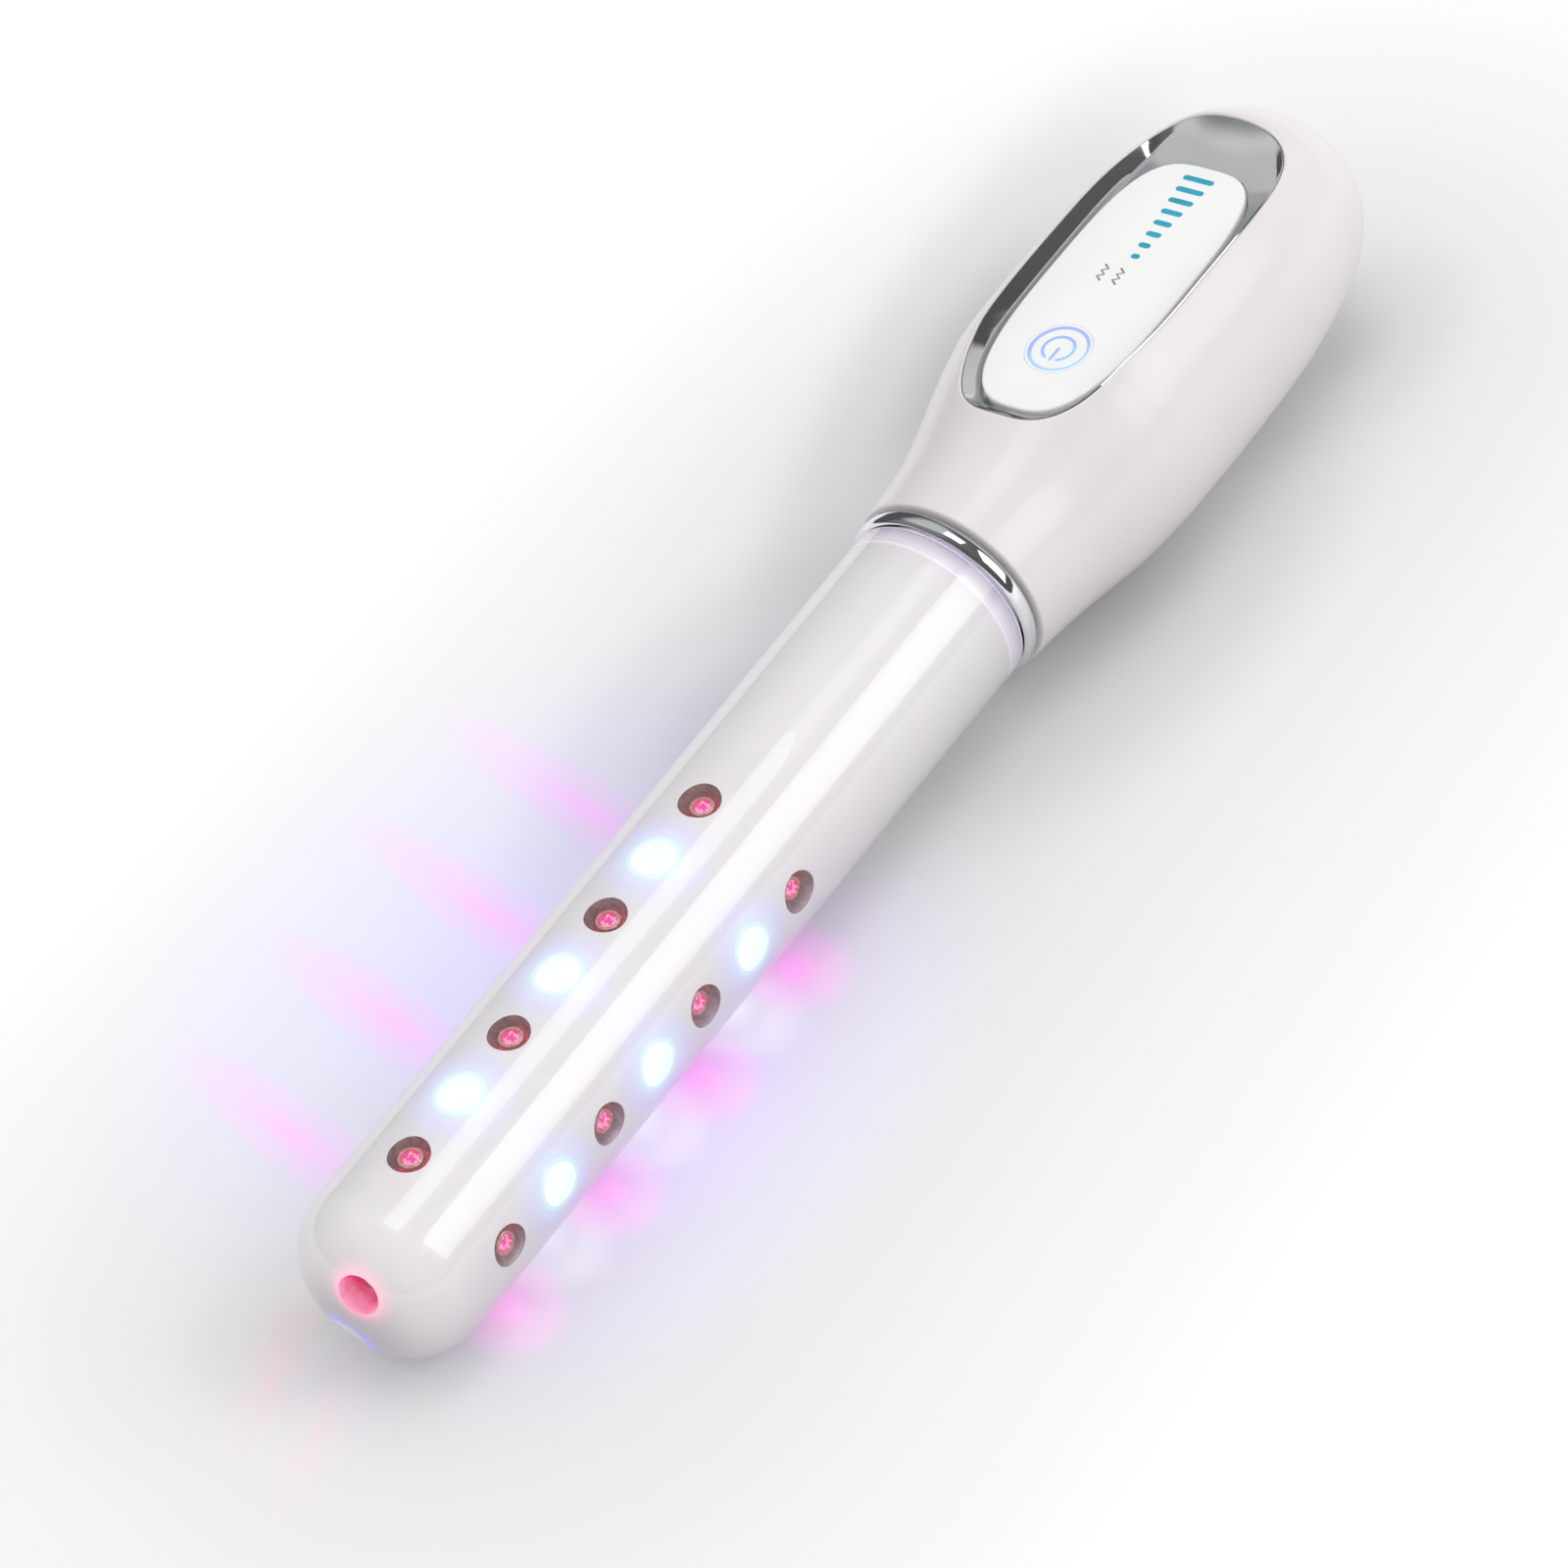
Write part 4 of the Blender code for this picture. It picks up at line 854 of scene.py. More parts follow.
def lit_mark(name, colour, cool, reach):
    """Glowing mark, cooler towards the tip, that fades out at a distance from the button's middle."""
    material, tree, shader, place = new_material(name, roughness=0.3)
    towards_tip = maths(tree, "SUBTRACT", BUTTON_X, coordinate(tree, place))
    aside = maths(tree, "SUBTRACT", towards_tip, coordinate(tree, place, "Y"))
    aside = maths(tree, "ADD", maths(tree, "DIVIDE", aside, 12 * MM), noise(tree, place, 350.0, 1.0))
    glow = ramp(tree, aside, [(0.45, colour), (0.95, cool)])
    off = distance(tree, place, (BUTTON_X, 0, PANEL_TOP))
    fade = spread(tree, off, reach - 0.08 * MM, reach + 0.08 * MM)
    tree.links.new(blended(tree, fade, (0.16, 0.18, 0.35), PANEL_COLOUR), shader.inputs["Base Color"])
    return lit(material, blended(tree, fade, glow, (0.0, 0.0, 0.04)), 1.0)


MATERIALS = {
    "clear": clear_plastic(),
    "pearl": pearl_white(),
    "liner": window_liner(),
    # The windows' walls glow with painted light of their diodes; the tip laser's eye further down is a light
    # of its own
    "blue_wall": lit_wall(
        "blue_window_wall", (0.45, 0.6, 0.6), (0.60, 0.86, 0.83), (0.54, 0.82, 0.82), ("X", 0.0, 0.1)
    ),
    "red_wall": lit_wall(
        "red_window_wall", (0.15, 0.01, 0.05), (1.0, 0.30, 0.55), (0.55, 0.0, 0.08), ("X", 1.2 * MM, 4.2 * MM)
    ),
    "violet_wall": lit_wall(
        "violet_window_wall", (0.5, 0.5, 0.75), (0.30, 0.30, 0.95), (0.12, 0.10, 0.8), ("Z", -8 * MM, -3 * MM)
    ),
    "can": laser_can(),
    "laser_eye": diode_light("laser_eye", (0.12, 0.01, 0.04), [
        (0.0, (0.80, 0.0, 0.45)),
        (0.30, (0.78, 0.0, 0.30)),
        (0.46, (1.0, 0.40, 0.62)),
        (0.60, (0.75, 0.0, 0.14)),
        (1.0, (0.30, 0.0, 0.03)),
    ], 1.75 * MM, 0.9),
    "blue_light": diode_light("blue_light", (0.4, 0.5, 0.5), [
        (0.0, (0.68, 0.98, 0.86)),
        (0.25, (0.55, 0.95, 0.78)),
        (0.40, (0.70, 1.0, 0.94)),
        (1.0, (0.66, 0.98, 0.95)),
    ], 2.1 * MM, 0.95),
    "red_light": lit_wall(
        "red_light", (0.12, 0.01, 0.04), (0.50, 0.0, 0.08), (1.0, 0.16, 0.40), ("Z", -1.2 * MM, 1.2 * MM)
    ),
    "chrome": finish("chrome", (0.76, 0.77, 0.79), (0.04, 0.09), mottle=0.02, metallic=1.0),
    "handle": finish(
        "handle_white", (0.745, 0.710, 0.705), (0.28, 0.36), mottle=0.012, mottle_scale=40.0,
        coat_weight=0.3, coat_roughness=0.16,
    ),
    "panel": panel_plastic(),
    "guide": lit_mark("light_guide", (0.26, 0.32, 0.80), (0.24, 0.55, 0.86), GUIDE_LIT_RADIUS),
    "power_mark": lit_mark("power_mark", (0.20, 0.33, 0.80), (0.22, 0.50, 0.85), 9.0 * MM),
    "grey_ink": finish("grey_ink", (0.22, 0.22, 0.21), (0.4, 0.55), mottle=0.15, mottle_scale=900.0),
    "teal_ink": finish("teal_ink", (0.02, 0.36, 0.50), (0.3, 0.45), mottle=0.08, mottle_scale=500.0),
    "inlet": finish(
        "inlet_plastic", (0.16, 0.16, 0.17), (0.38, 0.55), mottle=0.06, grain=0.5, grain_scale=4000.0
    ),
    "gold": finish("contact_gold", (0.83, 0.60, 0.25), (0.14, 0.26), mottle=0.05, metallic=1.0),
    "spine_metal": brushed("spine_metal", (0.72, 0.73, 0.75), (0.25, 0.45)),
    "strip_board": board_mask(
        "strip_board", (0.80, 0.82, 0.80), (0.72, 0.75, 0.74), (0.75, 0.70, 0.60), 1.2 * MM
    ),
    "seal_rubber": finish("seal_rubber", (0.03, 0.03, 0.032), (0.55, 0.75), mottle=0.2, grain=0.4),
    "motor_steel": brushed("motor_steel", (0.60, 0.61, 0.63), (0.22, 0.38)),
    "bush_plastic": finish("bush_plastic", (0.06, 0.06, 0.065), (0.45, 0.6), mottle=0.1, grain=0.5),
    "switch_plastic": finish("switch_plastic", (0.04, 0.04, 0.045), (0.4, 0.55), mottle=0.1, grain=0.4),
    "driver_board": board_mask(
        "driver_board", (0.01, 0.13, 0.06), (0.02, 0.19, 0.09), (0.55, 0.50, 0.30), 1.6 * MM
    ),
    "screw_steel": brushed("screw_steel", (0.55, 0.56, 0.58), (0.25, 0.40)),
    "housing_plastic": finish("housing_plastic", (0.12, 0.125, 0.135), (0.45, 0.6), mottle=0.08, grain=0.5),
    "cell_wrap": wrapped_cell(),
}


# Front end


def window_cones(name, material, places, depth):
    """Cutter of some windows, each a cone from the core's bore to past its mouth."""
    bm = bmesh.new()
    slope = (WINDOW_MOUTH_RADIUS - WINDOW_THROAT_RADIUS) / depth
    reach = (-OVERRUN, depth + OVERRUN)
    for place in places:
        ends = [ring(x, WINDOW_THROAT_RADIUS + slope * x, WINDOW_SEGMENTS) for x in reach]
        skin([[place @ p for p in points] for points in ends], bm=bm)
    return solid(name, bm, material)


def row_places(offset, count, height):
    """Name endings and places of the diodes of one kind, row by row."""
    places = {}
    for row, letter in enumerate(ROW_NAMES):
        for i in range(count):
            x = WINDOW_FROM_TIP + LASER_PITCH * (i + offset)
            places[f"{letter}{i + 1}"] = row_matrix(90.0 * row, x, height)
    return places


def core_normal(point, face):
    """Normal of the core's straight outside, or none elsewhere."""
    radius = Vector((point.y, point.z)).length
    outside = sleeve_radius(point.x) - CORE_INSET
    if not DOME_DEPTH < point.x < BAND_START or radius < outside - 0.05 * MM or face.normal.x**2 > 0.02:
        return None
    out = Vector((0, point.y, point.z)).normalized()
    if out.dot(face.normal) < 0.97:
        return None
    taper = (SLEEVE_END_RADIUS - SLEEVE_TIP_RADIUS) / (SHOULDER - DOME_DEPTH)
    return (out - Vector((taper, 0, 0))).normalized()


def make_sleeve():
    """Clear sleeve, moulded tight on the core, so that no film of air shows between them."""
    outside = [*dome(0), (SHOULDER, SLEEVE_END_RADIUS), (SHOULDER, SPIGOT_RADIUS)]
    shoulder = len(outside) - 2
    outside += [(SEAL_X - SEAL_GROOVE_HALF, SPIGOT_RADIUS), (SEAL_X - SEAL_GROOVE_HALF, SEAL_GROOVE_RADIUS)]
    outside += [(SEAL_X + SEAL_GROOVE_HALF, SEAL_GROOVE_RADIUS), (SEAL_X + SEAL_GROOVE_HALF, SPIGOT_RADIUS)]
    bore = BAND_BORE_RADIUS - GAP - BOND
    step = BAND_START - BOND
    outside += [(SLEEVE_END, SPIGOT_RADIUS), (SLEEVE_END, bore)]
    inside = [(step, bore), (step, sleeve_radius(step) - CORE_INSET - BOND)]
    profile = rounded(outside + inside, SHOULDER_ROUND, {shoulder}) + list(reversed(dome(CORE_INSET + BOND)))
    mesh = solid("sleeve", turned(profile, ROUND_SEGMENTS), MATERIALS["clear"])
    add("sleeve", mesh, ["clear_sleeve"])


def make_core():
    """White core tube, whose windows are cut as cones."""
    spigot = BAND_BORE_RADIUS - GAP
    flange = NECK_BORE_RADIUS - GAP
    profile = dome(CORE_INSET)
    for step in range(1, CORE_STEPS + 1):
        x = DOME_DEPTH + (BAND_START - DOME_DEPTH) * step / CORE_STEPS
        profile.append((x, sleeve_radius(x) - CORE_INSET))
    profile += [(BAND_START, spigot), (SLEEVE_END + GAP, spigot)]
    profile += [(SLEEVE_END + GAP, flange), (CORE_END, flange), (CORE_END, CORE_BORE_RADIUS)]
    profile += [(CORE_BORE_FRONT, CORE_BORE_RADIUS), (CORE_BORE_FRONT, 0)]
    tube = solid("tube", turned(profile, ROUND_SEGMENTS), MATERIALS["pearl"])
    lasers = row_places(0.0, LASERS_PER_ROW, CORE_BORE_RADIUS).values()
    leds = row_places(0.5, LASERS_PER_ROW - 1, CORE_BORE_RADIUS).values()
    mesh = cut(
        "windowed_core",
        tube,
        window_cones("laser_windows", MATERIALS["liner"], lasers, CORE_WALL),
        window_cones("blue_windows", MATERIALS["blue_wall"], leds, CORE_WALL),
        window_cones("red_tip_window", MATERIALS["red_wall"], [tip_matrix(1, 0)], CORE_FRONT_WALL),
        window_cones("blue_tip_window", MATERIALS["violet_wall"], [tip_matrix(-1, 0)], CORE_FRONT_WALL),
    )
    set_normals(mesh, core_normal)
    add("windowed_core", mesh, ["core_tube"])


def laser_mesh(name, eye):
    """Metal can with a rounded top, whose conical mouth holds the eye."""
    rim = LASER_MOUTH_RADIUS
    can = [(0, 0), (0, LASER_BASE_RADIUS), (LASER_BASE_HEIGHT, LASER_BASE_RADIUS)]
    can += [(LASER_BASE_HEIGHT, LASER_CAP_RADIUS), (LASER_TOP, LASER_CAP_RADIUS), (LASER_TOP, rim)]
    profile = rounded(can, LASER_ROUND, {2, 4})
    eye_floor = LASER_TOP - LASER_MOUTH_DEPTH
    profile.append((eye_floor, LASER_EYE_RADIUS))
    profile += [(eye_floor + rise, radius) for rise, radius in LASER_EYE_DOME]
    bm = turned(profile, DIODE_SEGMENTS)
    for face in bm.faces:
        centre = face.calc_center_median()
        if centre.x > eye_floor - 0.01 * MM and Vector((centre.y, centre.z)).length < rim:
            face.material_index = 1
    return solid(name, bm, MATERIALS["can"], eye, sharp_deg=40.0)


def led_mesh():
    """Moulded light with a domed lens on its base."""
    profile = [(0, 0), (0, LED_BASE_RADIUS), (LED_BASE_HEIGHT, LED_BASE_RADIUS)]
    profile = rounded(profile + [(LED_BASE_HEIGHT, LED_LENS_RADIUS)], LED_ROUND, {2})
    shaft = LED_TOP - LED_LENS_RADIUS
    for step in range(DIODE_SEGMENTS // 4):
        turn = math.pi / 2 * step / (DIODE_SEGMENTS // 4)
        profile.append((shaft + LED_LENS_RADIUS * math.sin(turn), LED_LENS_RADIUS * math.cos(turn)))
    profile.append((LED_TOP, 0))
    return solid("blue_light", turned(profile, DIODE_SEGMENTS), MATERIALS["blue_light"])


def make_diodes():
    laser = laser_mesh("laser_diode", MATERIALS["laser_eye"])
    led = led_mesh()
    for ending, place in row_places(0.0, LASERS_PER_ROW, LASER_SEAT).items():
        add(f"laser_{ending}", laser, [f"laser_diode_{ending}"], place=place)
    for ending, place in row_places(0.5, LASERS_PER_ROW - 1, LASER_SEAT).items():
        add(f"light_{ending}", led, [f"blue_led_{ending}"], place=place)
    back = TIP_LIGHT_SETBACK + LASER_BASE_HEIGHT
    red = laser_mesh("tip_laser", MATERIALS["red_light"])
    add("laser_tip", red, ["tip_laser_diode"], place=tip_matrix(1, back))
    add("light_tip", led, ["tip_blue_led"], place=tip_matrix(-1, back))


# Ring and handle


def make_ring():
    end = RING_START + RING_WIDTH
    profile = [(RING_START, NECK_BORE_RADIUS), (RING_START, RING_RADIUS), (end, RING_RADIUS)]
    profile.append((end, NECK_BORE_RADIUS))
    shape = turned(rounded(profile, RING_ROUND, {1, 2}), ROUND_SEGMENTS, looped=True)
    add("ring", solid("ring", shape, MATERIALS["chrome"], sharp_deg=50.0), ["collar_ring"])


def handle_outside_normal(point, face):
    """Normal of the handle's outside, or none elsewhere."""
    radius, lift = handle_at(point.x)
    off = abs(Vector((point.y, point.z - lift)).length - radius)
    if off > 0.06 * MM or point.x < HANDLE_START + HANDLE_EDGE or abs(face.normal.x) > 0.96:
        return None
    normal = handle_normal(point)
    return normal if normal.dot(face.normal) > 0.85 else None


def make_handle():
    """Handle: its outside, less its flat belly, its cavity, and the pocket and opening under the panel."""
    first = CURVE[0]
    neck = [(first.x, NECK_BORE_RADIUS, 0), (first.x, first.y - HANDLE_EDGE, 0)]
    edge = [
        (first.x + HANDLE_EDGE * (1 - math.cos(t)), first.y - HANDLE_EDGE * (1 - math.sin(t)), 0)
        for t in (math.pi / 8, math.pi / 4, 3 * math.pi / 8)
    ]
    body = [(first.x + HANDLE_EDGE, handle_at(first.x + HANDLE_EDGE)[0], 0), *CURVE[1:]]
    stations = [(CAVITY_START + OVERRUN, NECK_BORE_RADIUS, 0), *neck, *edge, *body]
    stations += [(TOTAL_LENGTH, INLET_RADIUS + GAP, 0), (CAVITY_END - OVERRUN, INLET_RADIUS + GAP, 0)]
    outside = skin([ring(x, radius, HANDLE_SEGMENTS, lift) for x, radius, lift in stations])

    rings = []
    for station in CURVE[::STATION_STEPS // 2]:
        x = min(max(station.x, CAVITY_START), CAVITY_END)
        if rings and x - rings[-1][0].x < 0.1 * MM:
            continue
        radius, lift = handle_at(x)
        hollow = ring(x, radius - HANDLE_WALL, SMALL_SEGMENTS, lift)
        rings.append([Vector((p.x, p.y, min(p.z, CAVITY_ROOF))) for p in hollow])

    white = MATERIALS["handle"]
    floor_point = WAND.inverted() @ Vector((0, 0, 0))
    up = WAND.inverted().to_3x3() @ Vector((0, 0, 1))
    wide = 2 * HANDLE_RADIUS
    heights = [floor_point.z - up.x / up.z * (x - floor_point.x) for x in (HANDLE_START, TOTAL_LENGTH)]
    corners = [Vector((HANDLE_START, -wide, heights[0])), Vector((TOTAL_LENGTH, -wide, heights[1]))]
    corners += [Vector((TOTAL_LENGTH, -wide, -wide)), Vector((HANDLE_START, -wide, -wide))]
    below = skin([corners, [p + Vector((0, 2 * wide, 0)) for p in corners]])
    pocket = extruded(at_height(inset(RIM, -LIP_ROUND), DECK_TOP), wide)
    opening = extruded(at_height(inset(RIM, DECK_WIDTH), CAVITY_ROOF - OVERRUN), wide)
    mesh = cut(
        "handle",
        solid("handle_outside", outside, white),
        solid("below_floor", below, white),
        solid("cavity", skin(rings), white),
        solid("pocket", pocket, white),
        solid("opening", opening, white),
        sharp_deg=25.0,
    )
    set_normals(mesh, handle_outside_normal)
    add("handle", mesh, ["handle_shell"])


def make_lip():
    """Rounded rim of the opening, flush with the handle's surface."""
    outer = on_handle(inset(RIM, -LIP_ROUND))
    corner = on_handle(RIM)
    rings = []
    for step in range(FILLET_STEPS + 3):
        t = step / (FILLET_STEPS + 2)
        low = [p - Vector((0, 0, LIP_ROUND)) for p in corner]
        arcs = zip(outer, corner, low)
        rings.append([a * (1 - t) ** 2 + b * 2 * t * (1 - t) + c * t**2 for a, b, c in arcs])
    rings.append(at_height(RIM, DECK_TOP))
    rings.append(at_height(inset(RIM, -LIP_ROUND + 0.01 * MM), DECK_TOP))
    rings.append([p - Vector((0, 0, 0.02 * MM)) for p in on_handle(inset(RIM, -LIP_ROUND + 0.01 * MM))])
    mesh = solid("lip", skin(rings, looped=True), MATERIALS["handle"], sharp_deg=60.0)
    edge = {tuple(round(c, 7) for c in p) for p in outer}

    def rule(point, face):
        seam = tuple(round(c, 7) for c in point) in edge
        return handle_normal(point) if seam and face.normal.z > 0.3 else None

    set_normals(mesh, rule)
    add("handle_lip", mesh)


def make_bezel():
    """Chrome frame under the rim: a steep wall, which turns into a hollow scoop at the far end."""
    sides = inset(RIM, BEZEL_GAP)
    land = on_handle(inset(RIM, BEZEL_GAP + BEZEL_LAND), BEZEL_SINK)
    edge = []
    for high, low in zip(land, facing(inset(PLATE, -GAP), land)):
        aside = abs((low - high).xy.normalized().y)
        least, most = BEZEL_EDGE_DROP
        edge.append(Vector((low.x, low.y, PANEL_TOP - least - (most - least) * aside)))
    flange = facing(inset(PLATE, BEZEL_FLANGE_WIDTH), edge)
    rings = [at_height(sides, BEZEL_BOTTOM), on_handle(sides, BEZEL_SINK + 0.05 * MM), land]
    slope = [[] for _ in range(BEZEL_WALL_STEPS + BEZEL_FLOOR_STEPS - 1)]
    for high, low in zip(land, edge):
        across = (low - high).xy
        near = min(max(across.x / across.length - 0.2, 0) / 0.3, 1)
        steepness = BEZEL_WALL_STEEPNESS + (BEZEL_NEAR_STEEPNESS - BEZEL_WALL_STEEPNESS) * near
        foot = min((high.z - low.z) / steepness / across.length, 0.94)
        shares = [foot * i / BEZEL_WALL_STEPS for i in range(1, BEZEL_WALL_STEPS)]
        shares += [foot + (1 - foot) * i / BEZEL_FLOOR_STEPS for i in range(BEZEL_FLOOR_STEPS)]
        start, end = BEZEL_SCOOP_TURN
        wide = min(max((-across.x / across.length - start) / (end - start), 0), 1)
        wide = wide**2 * (3 - 2 * wide)
        for points, share in zip(slope, shares):
            steep = min(share / foot, 1)
            drop = steep + (1 - (1 - share) ** BEZEL_SCOOP_POWER - steep) * wide
            place = high.lerp(low, share)
            points.append(Vector((place.x, place.y, high.z + (low.z - high.z) * drop)))
    rings += [*slope, edge, at_height(edge, BEZEL_FLANGE_TOP), at_height(flange, BEZEL_FLANGE_TOP)]
    rings.append(at_height(flange, BEZEL_BOTTOM))
    mesh = solid("bezel_frame", skin(rings, looped=True), MATERIALS["chrome"])
    add("bezel_frame", mesh, ["bezel"])


# Panel, button and marks


def make_panel():
    """Panel plate with a rounded edge and the light ring's bore."""
    bottom = PANEL_TOP - PANEL_THICKNESS
    rings = [at_height(PLATE, bottom)]
    for step in range(FILLET_STEPS + 1):
        turn = math.pi / 2 * step / FILLET_STEPS
        outline = inset(PLATE, PANEL_EDGE * (1 - math.cos(turn)))
        rings.append(at_height(outline, PANEL_TOP - PANEL_EDGE * (1 - math.sin(turn))))
    plate = solid("plate", skin(rings), MATERIALS["panel"])
    hole = GUIDE_OUTER_RADIUS + BOND
    low, high = bottom - OVERRUN, PANEL_TOP + OVERRUN
    profile = [(low, 0), (low, hole), (high, hole), (high, 0)]
    bore = solid("bore", upright(turned(profile, ROUND_SEGMENTS), BUTTON_X), MATERIALS["panel"])
    add("panel", cut("panel", plate, bore), ["control_panel"])


def make_button():
    """Light ring, and the button cap that travels in it."""
    guide = [(PANEL_TOP, GUIDE_RADIUS), (PANEL_TOP, GUIDE_OUTER_RADIUS)]
    guide += [(GUIDE_FLANGE_TOP, GUIDE_OUTER_RADIUS), (GUIDE_FLANGE_TOP, GUIDE_FLANGE_RADIUS)]
    guide += [(GUIDE_BOTTOM, GUIDE_FLANGE_RADIUS), (GUIDE_BOTTOM, GUIDE_RADIUS)]
    shape = upright(turned(rounded(guide, GUIDE_EDGE, {0}), ROUND_SEGMENTS, looped=True), BUTTON_X)
    add("glow_ring", solid("glow_ring", shape, MATERIALS["guide"]), ["light_ring"])

    dish = PANEL_TOP - BUTTON_DISH_DEPTH
    stem_end = BUTTON_BOTTOM - STEM_LENGTH
    cap = [(dish, 0), (dish, BUTTON_DISH_RADII[0]), (PANEL_TOP, BUTTON_DISH_RADII[1])]
    cap += [(PANEL_TOP, BUTTON_RADIUS), (BUTTON_FLANGE_TOP, BUTTON_RADIUS)]
    cap += [(BUTTON_FLANGE_TOP, BUTTON_FLANGE_RADIUS), (BUTTON_BOTTOM, BUTTON_FLANGE_RADIUS)]
    cap += [(BUTTON_BOTTOM, STEM_RADIUS), (stem_end, STEM_RADIUS), (stem_end, 0)]
    profile = rounded(cap, BUTTON_EDGE, {3})
    shape = upright(turned(profile, ROUND_SEGMENTS), BUTTON_X)
    mesh = solid("button_cap", shape, MATERIALS["panel"])
    add("button_cap", mesh, ["power_button"], body="button")


def stroke(points, width):
    """Outline of a line of one width with round ends."""
    left, right = [], []
    for i, point in enumerate(points):
        way = (points[min(i + 1, len(points) - 1)] - points[max(i - 1, 0)]).normalized()
        side = Vector((-way.y, way.x)) * width / 2
        left.append(point + side)
        right.append(point - side)
    ends = []
    for centre, start in ((points[-1], left[-1]), (points[0], right[0])):
        arm = start - centre
        turns = [-math.pi * step / 8 for step in range(1, 8)]
        ends.append([centre + Vector((
            arm.x * math.cos(t) - arm.y * math.sin(t), arm.x * math.sin(t) + arm.y * math.cos(t)
        )) for t in turns])
    return [Vector((p.x, p.y, 0)) for p in left + ends[0] + list(reversed(right)) + ends[1]]


def marks(lines, width):
    """Thin raised marks on the panel, one for each line."""
    bm = bmesh.new()
    for points in lines:
        outline = at_height(stroke(points, width), PANEL_TOP - MARK_SINK)
        skin([outline, [p + Vector((0, 0, MARK_SINK + MARK_RISE)) for p in outline]], bm=bm)
    return bm


def make_marks():
    """Power mark on the button, and vibration mark and level bars on the panel."""
    gap = math.radians(POWER_GAP_DEG)
    turns = [math.pi + gap + (2 * math.pi - 2 * gap) * i / 64 for i in range(65)]
    arc = [Vector((BUTTON_X + POWER_ARC_RADIUS * math.cos(t), POWER_ARC_RADIUS * math.sin(t))) for t in turns]
    bar = [Vector((BUTTON_X - POWER_ARC_RADIUS * i / 4, 0)) for i in range(5)]
    mesh = solid("power_mark", marks([arc, bar], POWER_STROKE), MATERIALS["power_mark"])
    add("power_mark", mesh, body="button")

    waves = []
    for side in (-1, 1):
        line = []
        for i in range(WAVE_TURNS + 1):
            along = WAVE_CENTRE[0] + WAVE_LENGTH * (i / WAVE_TURNS - 0.5)
            swing = WAVE_SWING if i % 2 else -WAVE_SWING
            line.append(Vector((along, WAVE_CENTRE[1] + side * WAVE_SPACING / 2 + swing)))
        waves.append(line)
    add("wave_mark", solid("wave_mark", marks(waves, WAVE_STROKE), MATERIALS["grey_ink"]))

    bars = []
    for i in range(BARS_COUNT):
        x = BARS_START + BARS_PITCH * i
        half = (BAR_SHORTEST + (BAR_LONGEST - BAR_SHORTEST) * i / (BARS_COUNT - 1) - BAR_WIDTH) / 2
        bars.append([Vector((x, half * t)) for t in (-1, 0, 1)])
    add("level_mark", solid("level_mark", marks(bars, BAR_WIDTH), MATERIALS["teal_ink"]))


# Charging inlet


def make_inlet():
    """Plate of the charging inlet with its two pins."""
    front = CAVITY_END - GAP
    back = front - INLET_FLANGE_THICKNESS
    profile = [(back, 0), (back, INLET_FLANGE_RADIUS), (front, INLET_FLANGE_RADIUS), (front, INLET_RADIUS)]
    profile += [(TOTAL_LENGTH, INLET_RADIUS), (TOTAL_LENGTH, 0)]
    disc = solid("disc", turned(rounded(profile, INLET_EDGE, {4}), ROUND_SEGMENTS), MATERIALS["inlet"])
    bores = bmesh.new()
    for side in (-1, 1):
        hole = PIN_RADIUS + GAP
        depth, widening = PIN_BORE_BEVEL
        ends = [(back - OVERRUN, hole), (TOTAL_LENGTH - depth, hole)]
        ends.append((TOTAL_LENGTH + 0.1 * MM, hole + widening))
        rings = [ring(x, radius, SMALL_SEGMENTS) for x, radius in ends]
        skin([[p + Vector((0, side * PIN_SPACING / 2, 0)) for p in points] for points in rings], bm=bores)
    mesh = cut("inlet_plate", disc, solid("bores", bores, MATERIALS["inlet"]))
    add("inlet_plate", mesh, ["contact_plate"])

    head = back - GAP
    tail = head - PIN_FLANGE_THICKNESS
    profile = [(tail - PIN_TAIL, 0), (tail - PIN_TAIL, PIN_RADIUS), (tail, PIN_RADIUS)]
    profile += [(tail, PIN_FLANGE_RADIUS), (head, PIN_FLANGE_RADIUS), (head, PIN_RADIUS)]
    profile += [(TOTAL_LENGTH, PIN_RADIUS), (TOTAL_LENGTH, 0)]
    pin = solid("inlet_pin", turned(rounded(profile, PIN_EDGE, {6}), SMALL_SEGMENTS), MATERIALS["gold"])
    for i, side in enumerate((-1, 1)):
        place = Matrix.Translation((0, side * PIN_SPACING / 2, 0))
        add(f"inlet_pin_{i + 1}", pin, [f"charge_pin_{i + 1}"], place=place)


# Carried pieces

CARRIED_FINISHES = {
    "spine_metal": ("heat_spine", "tip_holder"),
    "strip_board": ("diode_board_a", "diode_board_b", "diode_board_c", "diode_board_d"),
    "seal_rubber": ("neck_seal",),
    "motor_steel": ("vibration_motor", "eccentric_weight"),
    "bush_plastic": ("motor_bush",),
    "switch_plastic": ("tact_switch", "switch_plunger"),
    "driver_board": ("main_board",),
    "screw_steel": ("board_screw_1", "board_screw_2", "board_screw_3", "board_screw_4"),
    "housing_plastic": ("chassis",),
    "cell_wrap": ("battery_cell",),
}


def finish_carried():
    """Finishes for the pieces that stay as the CAD has them."""
    for key, names in CARRIED_FINISHES.items():
        for name in names:
            for holder in frame["nodes"][name].material_slots:
                holder.material = MATERIALS[key]


# Studio


